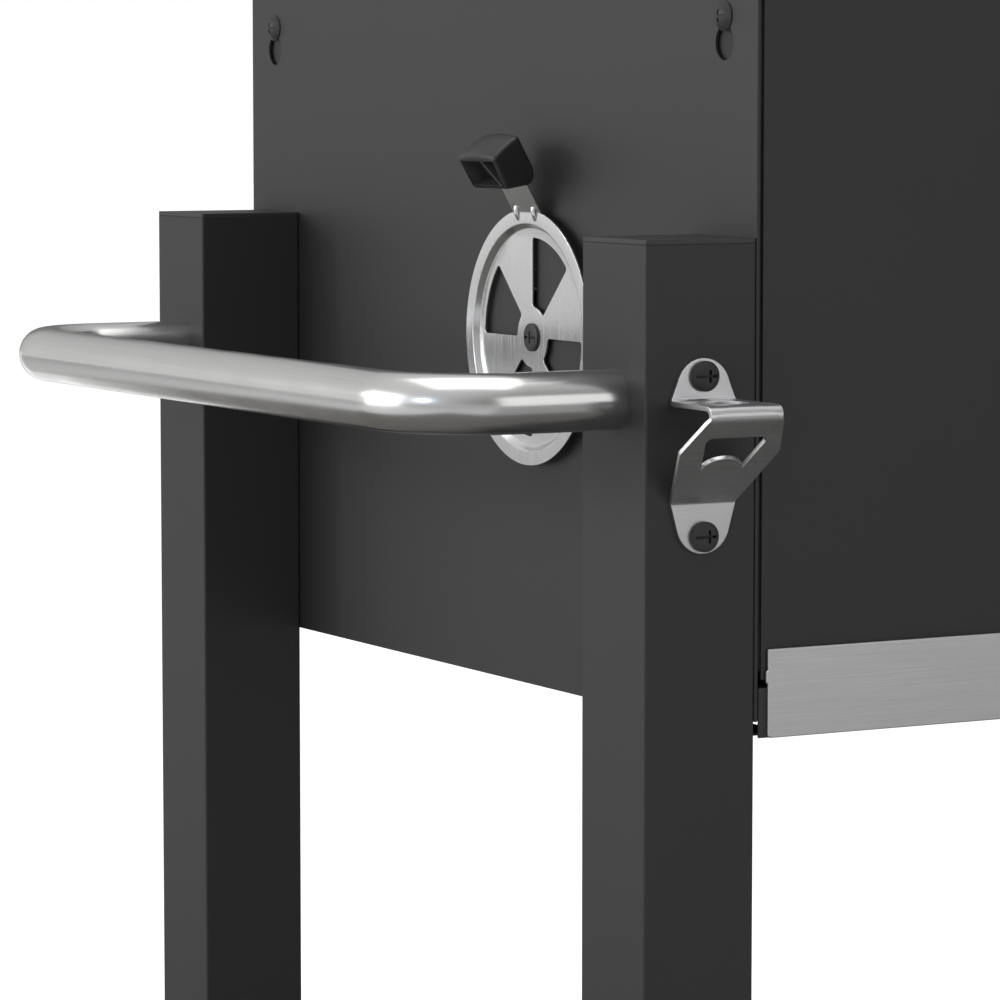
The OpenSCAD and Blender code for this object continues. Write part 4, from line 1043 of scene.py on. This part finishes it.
opener = thicken(opener, OPENER_T, (0, -1, 0), OPENER_EDGE)
place("cap_opener", opener, opener_steel, "bottle_opener", smooth=None)

# %% [markdown]
# A damper is pressed from sheet 1 mm thick. Its flat middle lies on the panel and has
# four openings, the ring around them is raised over a step, and the ring is cut
# straight at the top, where the lever bends out of it. Two small ribs are pressed
# across that bend to stiffen it. The disc, the lever and the ribs are built around
# the disc's middle, as (front, up, out), and the right damper mirrors the left one.

# %% Dampers: opening and ring
DAMPER_T, DAMPER_GAP, DAMPER_EDGE = 1.0 * MM, 0.2 * MM, 0.18 * MM
DAMPER_R, FLANGE_IN, FLAT_R, CHORD_UP = 54.5 * MM, 48.1 * MM, 46.8 * MM, 52.9 * MM
FLAT_H, FLANGE_H = 1.2 * MM, 4.0 * MM
RING, CORNER_STEPS, OUTER_STEPS, INNER_STEPS = 120, 5, 12, 6


def clock(angle, radius):
    """A point on a circle, at an angle that runs clockwise from up."""
    return math.sin(angle) * radius, math.cos(angle) * radius


def vent_wedge(middle_angle, inner, outer, half_angle, corner):
    """One opening of a damper, with rounded corners."""
    loop = []
    for radius, sign, turn in ((outer - corner, -1, 1), (outer - corner, 1, 1),
                               (inner + corner, 1, -1), (inner + corner, -1, -1)):
        aside = math.asin(corner / radius)
        angle = middle_angle + sign * (half_angle - aside)
        center = Vector(clock(angle, radius))
        spoke = Vector(clock(angle, turn))
        edge = Vector(clock(angle + sign * aside + math.pi / 2, sign))
        first, last = (edge, spoke) if sign * turn < 0 else (spoke, edge)
        for k in range(CORNER_STEPS + 1):
            way = first.lerp(last, k / CORNER_STEPS).normalized()
            loop.append(tuple(center + way * corner))
        span = 2 * (half_angle - aside)
        if sign < 0 and turn > 0:
            loop += [clock(angle + span * k / OUTER_STEPS, outer) for k in range(1, OUTER_STEPS)]
        if sign > 0 and turn < 0:
            loop += [clock(angle - span * k / INNER_STEPS, inner) for k in range(1, INNER_STEPS)]
    return loop


def ring_points(radius):
    """A ring whose top is cut off straight where it passes the chord."""
    points = []
    for i in range(RING):
        angle = 2 * math.pi * i / RING
        passes = math.cos(angle) * radius > CHORD_UP
        points.append(clock(angle, CHORD_UP / math.cos(angle) if passes else radius))
    return points


# %% Dampers: disc
VENTS, VENT_IN, VENT_OUT, VENT_R = 4, 13 * MM, 42.4 * MM, 1.6 * MM
HUB_HOLE_R, HUB_STEPS = 4.1 * MM, 32
# The flat middle ends this far inside the step, and the step's foot and top are eased
FLAT_EDGE, STEP_EASE, FLANGE_EASE = 0.8 * MM, 0.3 * MM, 0.7 * MM
# Rings outside the flat middle: radius, and height as a share of the step
STEP_SHARES = ((FLAT_R - STEP_EASE, 0.04), (FLAT_R, 0.1), (FLANGE_IN, 0.9),
               (FLANGE_IN + STEP_EASE, 0.96), (FLANGE_IN + FLANGE_EASE, 1.0), (DAMPER_R, 1.0))


def damper_skin():
    """The outer skin of the disc."""
    half_angle = math.pi / VENTS / 2
    wedges = [vent_wedge((4 * i + 1) * half_angle, VENT_IN, VENT_OUT, half_angle, VENT_R)
              for i in range(VENTS)]
    flat_edge = FLAT_R - FLAT_EDGE
    bm = blank([ring_points(flat_edge), circle((0, 0), HUB_HOLE_R, HUB_STEPS), *wedges])
    for vert in bm.verts:
        vert.co.z = FLAT_H
    inner = sorted((v for v in bm.verts if v.co.xy.length > flat_edge - SAME_POINT),
                   key=lambda v: math.atan2(v.co.x, v.co.y) % (2 * math.pi))
    for radius, share in STEP_SHARES:
        height = FLAT_H + (FLANGE_H - FLAT_H) * share
        ring = [bm.verts.new((x, y, height)) for x, y in ring_points(radius)]
        for i in range(RING):
            j = (i + 1) % RING
            bm.faces.new((inner[i], inner[j], ring[j], ring[i]))
        inner = ring
    return bm


# %% [markdown]
# Several small bodies here follow one plan: a row of points is an outline, the next
# row is that outline a step further, and faces join the two. The ribs, the knobs, the
# hollows in the knobs and the tyres are all made by this one function.

# %% Helper: body through rows of points
def loft(name, rows, ring=False):
    """A closed body through rows of points. A ring's last row joins its first one."""
    bm = bmesh.new()
    rows = [[bm.verts.new(point) for point in row] for row in rows]
    for first, second in zip(rows, rows[1:] + (rows[:1] if ring else [])):
        for k in range(len(first)):
            j = (k + 1) % len(first)
            bm.faces.new((first[k], first[j], second[j], second[k]))
    if not ring:
        bm.faces.new(rows[0])
        bm.faces.new(rows[-1])
    bmesh.ops.recalc_face_normals(bm, faces=bm.faces)
    return to_mesh(bm, name)


# %% [markdown]
# The lever is a strip that is bent in the way of the opener: it starts on the
# flange, passes the straight edge and leans out by 29 degrees. A rib is a half
# circle that is carried across the bend. Its height swells and fades by a formula, so
# that it runs out into the sheet at both ends.

# %% Dampers: lever and ribs
LEAN = math.radians(29)
BEND_UP = CHORD_UP + 0.2 * MM
LEVER_HALF_W, LEVER_LONG, LEVER_CORNER, LEVER_BEND = 12 * MM, 23.5 * MM, 2 * MM, 1.5 * MM
LEVER_ROOT_UP, LEVER_H = 50.5 * MM, FLANGE_H - 0.05 * MM
LEVER_T = DAMPER_T - 0.1 * MM
RIB_ASIDE, RIB_HALF_W, RIB_LOW, RIB_HIGH = 7.5 * MM, 1.5 * MM, -3.6 * MM, 3.2 * MM
RIB_RISE, RIB_BRIDGE, RIB_BRIDGE_W, RIB_SUNK = 0.9 * MM, 0.9 * MM, 2.2 * MM, 0.4 * MM
RIB_STEPS, RIB_AROUND, RIB_POWER = 12, 8, 0.7


def rib(side):
    """A half-round rib pressed across the bend, as a closed small body."""
    rows = []
    for i in range(RIB_STEPS + 1):
        share = i / RIB_STEPS
        along = RIB_LOW + (RIB_HIGH - RIB_LOW) * share
        up, out = (along, 0) if along < 0 else (along * math.cos(LEAN), along * math.sin(LEAN))
        lift = (RIB_BRIDGE * math.exp(-(along / RIB_BRIDGE_W) ** 2)
                + RIB_RISE * math.sin(math.pi * share) ** RIB_POWER)
        rows.append([(side + RIB_HALF_W * math.cos(a), BEND_UP + up,
                      FLANGE_H + out - RIB_SUNK + (lift + RIB_SUNK) * math.sin(a))
                     for a in [math.pi * k / RIB_AROUND for k in range(RIB_AROUND + 1)]])
    mesh = loft("rib", rows)
    mesh.shade_smooth()
    return mesh


def lever_skin():
    """The lever's outer skin: a flat strip that leans out above the flange."""
    view = Bends([(LEVER_H, LEVER_ROOT_UP), (LEVER_H, BEND_UP),
                  (LEVER_H + LEVER_LONG * math.sin(LEAN), BEND_UP + LEVER_LONG * math.cos(LEAN))],
                 [LEVER_BEND])
    end = view.starts[-1]
    strip = blank([rounded_loop([(-LEVER_HALF_W, 0, 0), (LEVER_HALF_W, 0, 0),
                                 (LEVER_HALF_W, end, LEVER_CORNER),
                                 (-LEVER_HALF_W, end, LEVER_CORNER)])], view.seams())
    for vert in strip.verts:
        out, up = view.at(vert.co.y)
        vert.co = (vert.co.x, up, out)
    return strip


# %% Dampers: both sides
SIDES = ((-1, "left", left_x), (1, "right", right_x))


def on_side(mesh, side, skin_x, hub):
    """Turns (front, up, out) to the left or the right side of the grill."""
    matrix = Matrix(((0, 0, side, skin_x), (-1, 0, 0, hub.y), (0, 1, 0, hub.z), (0, 0, 0, 1)))
    turned = mesh.copy()
    turned.transform(matrix)
    if matrix.determinant() < 0:
        turned.flip_normals()
    return turned


pressed = merged(thicken(damper_skin(), DAMPER_T, (0, 0, 1), DAMPER_EDGE),
                 thicken(lever_skin(), LEVER_T, (0, -1, 1), DAMPER_EDGE),
                 rib(-RIB_ASIDE), rib(RIB_ASIDE))
for side, name, panel_x in SIDES:
    turned = on_side(pressed, side, panel_x + side * (DAMPER_GAP + DAMPER_T),
                     hinges[f"damper_{name}_turn"])
    place(f"damper_{name}_pressed", turned, damper_steel, f"damper_{name}", smooth=40)

# %% [markdown]
# The knob is moulded over the end of the lever. Its top is crowned and a little wider
# at its outer face, every edge is round, and that face is cored out, as thick plastic
# parts are, so that it cools evenly. One slanted rib is left in the hollow.

# %% Damper knobs: body and hollows, in millimetres
# Side view, as (inwards from the outer face, up the lever)
KNOB_VIEW = [(0, 0), (0, 15), (5, 16.2), (11, 17), (16, 17), (16, 1.9), (14.9, -1.5),
             (12.8, -3.4), (10.4, -3.7)]
KNOB_HALF_W, KNOB_FLARE, FLARE_DEEP, KNOB_CROWN, KNOB_ACROSS = 15, 1.5, 17, 1.5, 12
# Points of the side view above this height belong to the top.
KNOB_TOP_FROM = 10
# Outlines of the two hollows beside the slanted rib, as (across, up the lever)
HOLLOWS = (((-13.2, 1.8), (-12.3, 1.8), (-4.6, 13.2), (-14.2, 13.2)),
           ((-10.5, 1.8), (13.2, 1.8), (14.2, 13.2), (-2.8, 13.2)))
HOLLOW_OUT, HOLLOW_DEEP, HOLLOW_DRAFT_SHARE = -2, 8, 0.97


def knob_body():
    """The knob in its own frame: x inwards from its outer face, y across, z up the lever."""
    rows = []
    for i in range(KNOB_ACROSS + 1):
        across = 2 * i / KNOB_ACROSS - 1
        row = []
        for x, z in KNOB_VIEW:
            half_w = KNOB_HALF_W
            if z > KNOB_TOP_FROM:
                half_w += KNOB_FLARE * (1 - x / FLARE_DEEP)
                z += KNOB_CROWN * (1 - across ** 2)
            row.append((x * MM, across * half_w * MM, z * MM))
        rows.append(row)
    return loft("knob", rows)


def hollow(corners):
    """What is taken out of the knob's outer face. It narrows a little inwards."""
    return loft("hollow", [
        [(HOLLOW_OUT * MM, y * MM, z * MM) for y, z in corners],
        [(HOLLOW_DEEP * MM, y * MM * HOLLOW_DRAFT_SHARE, z * MM) for y, z in corners]])


# %% [markdown]
# The edges are rounded before the hollows are cut, because a wide rounding needs the
# whole body around it. A second, much smaller one then takes off the new edges. The
# finished knob leans with its lever, and the right one is the left one mirrored.

# %% Damper knobs: cut, rounded and placed
KNOB_R, KNOB_STEPS, HOLLOW_R = 1.7 * MM, 4, 0.25 * MM
KNOB_START_UP = 54.4 * MM
# How far the knob's outer face lies out of the lever, and its foot up the lever
KNOB_FACE_OUT, KNOB_FOOT_UP = 11.7 * MM, 16.25 * MM
KNOB_ON_LEVER = Matrix.Translation((DAMPER_T / 2 - KNOB_FACE_OUT, 0, KNOB_FOOT_UP))
core = bpy.data.objects.new("core", merged(*(hollow(corners) for corners in HOLLOWS)))
bpy.context.scene.collection.objects.link(core)
knob = knob_body()
knob.shade_smooth()
knob = with_modifiers(knob, rounded(KNOB_R, KNOB_STEPS, angle=40),
                      ("BOOLEAN", {"operation": "DIFFERENCE", "solver": "EXACT", "object": core}),
                      rounded(HOLLOW_R, angle=60), FLAT_STAYS_FLAT)
bpy.data.objects.remove(core)
for side, name, panel_x in SIDES:
    hub = hinges[f"damper_{name}_turn"]
    seat = Matrix.Translation((left_x - DAMPER_GAP - FLANGE_H - DAMPER_T, hub.y,
                               hub.z + KNOB_START_UP))
    piece = knob.copy()
    piece.transform(seat @ Matrix.Rotation(-LEAN, 4, "Y") @ KNOB_ON_LEVER)
    if side > 0:
        mirror = Matrix.Translation((2 * middle_x, 0, 0)) @ Matrix.Scale(-1, 4, (1, 0, 0))
        piece.transform(mirror)
        piece.flip_normals()
    place(f"damper_grip_{name}", piece, knob_plastic, f"damper_knob_{name}", smooth=40)

# %% [markdown]
# The drawer's front is a strip of thicker brushed steel. It needs only its edges.

# %% Drawer front
soften("drawer_front", strip_steel, radius=0.45 * MM, segments=3)

# %% [markdown]
# A wheel is one moulding: hub, web with round openings, and rim. Its solid gets soft
# edges, and ribs stand on the web from the hub to the rim between the openings. The
# tyre is turned around the axle with a round shoulder, and three rows of blocks are
# its tread. Ribs and blocks come from one tree, which puts a block on every point.

# %% Tree: blocks on points
def block_tree():
    """A block on each point."""
    growth = Growth("blocks", Across=float, Along=float, Height=float)
    given = growth.given
    block = growth.add("GeometryNodeMeshCube",
                       Size=growth.vector(given["Across"], given["Along"], given["Height"]))
    turned = facing_rotation(growth, aside=(0, 1, 0))
    return growth.finish(growth.on_points(block, Rotation=turned))


BLOCKS = block_tree()


def spokes(center, radius, count, offset_y=0.0, turned=0.0):
    """Points on a ring around the axle, each facing outwards."""
    points, facings = [], []
    for i in range(count):
        angle = 2 * math.pi * (i + turned) / count
        facing = Vector((math.cos(angle), 0, math.sin(angle)))
        points.append(center + facing * radius + Vector((0, offset_y, 0)))
        facings.append(facing)
    return seeds(points, facings)


# %% Tyres
TYRE_IN, SHOULDER, SHOULDER_STEPS, TURN_STEPS = 76 * MM, 6.5 * MM, 6, 96
TREAD_DEPTH, TREAD_BLOCKS, ROWS_APART = 1.5 * MM, 40, 7.8 * MM
# The blocks reach into the rubber, and end a little inside the solid's outer face.
BLOCK = {"Across": 6.2 * MM, "Along": 10 * MM, "Height": 2 * TREAD_DEPTH - 0.3 * MM}
BLOCK_SUNK = 0.05 * MM


def turned_tyre(center, outer, width):
    """A ring of rubber around the axle, with round shoulders."""
    half = width / 2 - SHOULDER
    profile = [(TYRE_IN, -width / 2),
               *arc((outer - SHOULDER, -half), SHOULDER, -90, 0, SHOULDER_STEPS),
               *arc((outer - SHOULDER, half), SHOULDER, 0, 90, SHOULDER_STEPS),
               (TYRE_IN, width / 2)]
    rings = []
    for i in range(TURN_STEPS):
        angle = 2 * math.pi * i / TURN_STEPS
        rings.append([center + Vector((r * math.cos(angle), y, r * math.sin(angle)))
                      for r, y in profile])
    return loft("tyre", rings, ring=True)


def wheel_middle(node):
    """The middle of a wheel or tyre, with its radius and its width."""
    low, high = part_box(node)
    return (low + high) / 2, (high.z - low.z) / 2, high.y - low.y


def dress_tyre(end):
    """The front or rear tyre with its tread."""
    center, outer, width = wheel_middle("tyre_" + end)
    parts = [turned_tyre(center, outer - TREAD_DEPTH, width)]
    for row in (-1, 0, 1):
        points = spokes(center, outer - TREAD_DEPTH - BLOCK_SUNK, TREAD_BLOCKS,
                        offset_y=row * ROWS_APART, turned=abs(row) / 2)
        parts.append(grow(BLOCKS, points, tyre_rubber, **BLOCK))
    place("tyre_" + end + "_treaded", merged(*parts), tyre_rubber, "tyre_" + end)


# %% Wheels
RIM_IN, HUB_R, WEB_HOLES, WHEEL_EDGE = 70 * MM, 15 * MM, 6, 0.8 * MM
# A rib reaches a little into the hub and into the rim.
WEB_RIB = {"Across": 22 * MM, "Along": 3 * MM, "Height": RIM_IN - HUB_R + 2 * MM}


def dress_wheel(end):
    """The front or rear wheel with its ribs."""
    center = wheel_middle("tyre_" + end)[0]
    node = "wheel_" + end
    solid = to_mesh(merged_copy(node), node)
    solid.shade_smooth()
    solid = with_modifiers(solid, rounded(WHEEL_EDGE))
    points = spokes(center, (RIM_IN + HUB_R) / 2, WEB_HOLES, turned=0.5)
    ribs = grow(BLOCKS, points, wheel_plastic, **WEB_RIB)
    place(node + "_moulded", merged(solid, ribs), wheel_plastic, node)


for end in ("front", "rear"):
    dress_tyre(end)
    dress_wheel(end)

# %% [markdown]
# What is left are small turned and pressed parts whose solids are already right, such
# as the axle, its washers and the nuts inside the legs. They keep their CAD meshes,
# and get the finish of their slot.

# %% Finishes for the pieces that keep their CAD mesh
finish_of = {
    "charcoal_coat": coated, "cap_plastic": cap_plastic, "foot_rubber": foot_rubber,
    "tyre_rubber": tyre_rubber, "wheel_plastic": wheel_plastic, "firebox_enamel": painted,
    "polished_steel": tube_steel, "brushed_strip": strip_steel, "stamped_steel": damper_steel,
    "opener_steel": opener_steel, "knob_plastic": knob_plastic, "black_rod": black_rod,
    "grate_iron": grate_enamel, "dark_screw": black_plated, "zinc_screw": zinc_plated,
}
kept = [node for node in frame["nodes"] if node not in dressed]
for node in kept:
    mesh = frame["nodes"][node].data
    mesh.materials.clear()
    mesh.materials.append(finish_of[slot_of[node]])
print("keep their CAD mesh:", ", ".join(kept))

# %% [markdown]
# The studio is a big pale floor that shines a little, so that it stays white behind
# the grill. Dark paint and bare steel show the room more than their own colour, so
# the room is what sets the greys. On the floor lie three cards that only reflections
# can see: a pale one on the left, a grey one in front on the right, and a dark one
# under the grill, which gives polished steel its dark lower edge. A dark flag stands
# behind on the right.

# %% Floor, cards and flag
STAGE_GRAIN, STAGE_SPREAD = 0.8, 0.05


def plate(name, size, center, color, roughness=0.8, glow=0.0):
    """A flat square of the stage, which may shine a little by itself."""
    half = size / 2
    mesh = bpy.data.meshes.new(name)
    mesh.from_pydata([(center[0] + x * half, center[1] + y * half, center[2])
                      for x, y in ((-1, -1), (1, -1), (1, 1), (-1, 1))], [], [(0, 1, 2, 3)])
    surface = Finish(name, color, metallic=0.0, roughness=roughness)
    surface.vary_roughness(surface.noise(STAGE_GRAIN), less=STAGE_SPREAD, more=STAGE_SPREAD)
    surface.shader.inputs["Emission Color"].default_value = (1, 1, 1, 1)
    surface.shader.inputs["Emission Strength"].default_value = glow
    mesh.materials.append(surface.material)
    obj = bpy.data.objects.new(name, mesh)
    bpy.context.scene.collection.objects.link(obj)
    obj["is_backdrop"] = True
    return obj


plate("studio_floor", size=60.0, center=(0, 0, 0), color=(0.9, 0.9, 0.9), roughness=0.7,
      glow=0.6)
cards = (
    plate("pale_card", size=30.0, center=(-15.5, 0, 1 * MM), color=(0.68, 0.68, 0.68)),
    plate("grey_card", size=30.0, center=(14.5, -14.6, 1 * MM), color=(0.36, 0.36, 0.36)),
    plate("dark_card", size=2.6, center=(-0.05, 0.25, 2 * MM), color=(0.13, 0.126, 0.116)),
)
FLAG_PLACE, FLAG_TURN = (1.2, 2.7, 0.35), math.radians(-28)
flag = plate("dark_flag", size=2.4, center=(0, 0, 0), color=(0.11, 0.11, 0.105))
flag.location = FLAG_PLACE
flag.rotation_euler = (math.radians(90), 0, FLAG_TURN)
for card in (*cards, flag):
    card.visible_camera = False
    card.visible_diffuse = False
    card.visible_shadow = False
print("floor,", len(cards), "cards on it and a flag behind")

# %% [markdown]
# The camera sees a plain white sky. Everything else sees one that is bright behind
# on the left and dim in front on the right, and that evens out overhead.

# %% Sky
SKY_BACK_LEFT, SKY_FRONT_RIGHT = 0.74, 0.13
SKY_TOP, SKY_LOW = 0.7, 0.2
BRIGHT_SIDE = (-0.9, 0.43, 0.0)
# How far towards the bright side the sky begins to brighten, how high it begins to
# even out, and between which heights the sky below fades in
DIM_FROM, DOME_FROM, HORIZON = -0.5, 0.25, (-0.05, 0.0)
world = bpy.data.worlds.new("studio")
bpy.context.scene.world = world
world.use_nodes = True
sky = world.node_tree
sky.nodes.clear()


def ramp(value, start, stop, low, high):
    """Maps a value that goes from start to stop to one that goes from low to high."""
    return add_node(sky, "ShaderNodeMapRange", Value=value, From_Min=start, From_Max=stop,
                    To_Min=low, To_Max=high).outputs["Result"]


direction = add_node(sky, "ShaderNodeTexCoord").outputs["Generated"]
height = add_node(sky, "ShaderNodeSeparateXYZ", Vector=direction).outputs["Z"]
turn = add_node(sky, "ShaderNodeVectorMath", {"operation": "DOT_PRODUCT"})
put(sky, turn.inputs[0], direction)
put(sky, turn.inputs[1], BRIGHT_SIDE)
around = ramp(turn.outputs["Value"], DIM_FROM, 1.0, SKY_FRONT_RIGHT, SKY_BACK_LEFT)
upward = ramp(height, DOME_FROM, 1.0, 0.0, 1.0)
dome = ramp(upward, 0.0, 1.0, around, SKY_TOP)
below = ramp(height, *HORIZON, SKY_LOW, dome)
lit = add_node(sky, "ShaderNodeBackground", Color=(1, 1, 1, 1), Strength=below)
plain = add_node(sky, "ShaderNodeBackground", Color=(1, 1, 1, 1), Strength=1.0)
seen = add_node(sky, "ShaderNodeLightPath").outputs["Is Camera Ray"]
either = add_node(sky, "ShaderNodeMixShader")
for socket, value in zip(either.inputs, (seen, lit.outputs[0], plain.outputs[0])):
    put(sky, socket, value)
add_node(sky, "ShaderNodeOutputWorld", Surface=either.outputs[0])
print("sky", len(sky.nodes), "nodes")

# %% [markdown]
# Three wide soft lights shine from above, from the left and from the front. Three
# small ones on the left add the short bright spots along the bend of the handle,
# and the one nearest the front is bluish, like daylight from a window.

# %% Soft lights
AIM = Vector((-0.25, -0.1, 0.6))
WINDOW_BLUE = (0.7, 0.83, 1.0)


def soft_light(name, at, width, height, watts, color=(1, 1, 1)):
    """A rectangle of light that faces the grill. The camera doesn't see it."""
    light = bpy.data.lights.new(name, "AREA")
    light.shape = "RECTANGLE"
    light.size, light.size_y, light.energy = width, height, watts
    light.color = color
    obj = bpy.data.objects.new(name, light)
    obj.location = at
    obj.rotation_euler = (AIM - Vector(at)).to_track_quat("-Z", "Y").to_euler()
    obj.visible_camera = False
    bpy.context.scene.collection.objects.link(obj)


soft_light("top_softbox", (-0.3, -0.2, 3.0), width=2.4, height=2.4, watts=23)
soft_light("left_softbox", (-4.4, 1.7, 1.4), width=3.4, height=2.8, watts=46)
soft_light("back_left_spot", (-2.5, 2.0, 1.4), width=0.3, height=0.3, watts=4)
soft_light("left_spot", (-3.2, 0.95, 1.4), width=0.3, height=0.3, watts=4)
soft_light("front_left_spot", (-3.15, -1.1, 1.4), width=0.45, height=0.35, watts=6,
           color=WINDOW_BLUE)
soft_light("front_softbox", (0.8, -3.6, 1.3), width=2.6, height=2.0, watts=15)
print("lights:", len(bpy.data.lights))

# %% [markdown]
# The camera stands where the real one stood. Its place and its focal length were
# worked out from the straight edges of the legs and panels. It is a long lens, 159 mm
# on a 36 mm wide sensor, so it takes a small field from a good step away, and edges
# that run away from it hardly converge. The picture is square, and needs no shift.

# %% Camera
# Focal length and sensor in millimetres, place and furthest view in metres
LENS, SENSOR, FURTHEST = 159.0, 36.0, 200.0
EYE = (-1.19498, -1.69724, 0.74818)
LOOK_DOWN, LOOK_RIGHT = 5.327, 28.453
camera_data = bpy.data.cameras.new("camera")
camera_data.lens = LENS
camera_data.sensor_width = SENSOR
camera_data.clip_end = FURTHEST
camera = bpy.data.objects.new("camera", camera_data)
camera.location = EYE
camera.rotation_euler = (math.radians(90 - LOOK_DOWN), 0, math.radians(-LOOK_RIGHT))
bpy.context.scene.collection.objects.link(camera)
bpy.context.scene.camera = camera
bpy.context.scene.view_settings.view_transform = "Standard"
bpy.context.scene.view_settings.look = "None"
print("camera", [round(v, 3) for v in camera.location])

# %% Print the sizes of the CAD model and of the visible pieces
boxes = {"cad": [list(corner) for corner in cad_box],
         "visual": [list(corner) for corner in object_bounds()]}
for name, (low, high) in boxes.items():
    print(name, [round(v, 4) for v in low], [round(v, 4) for v in high])
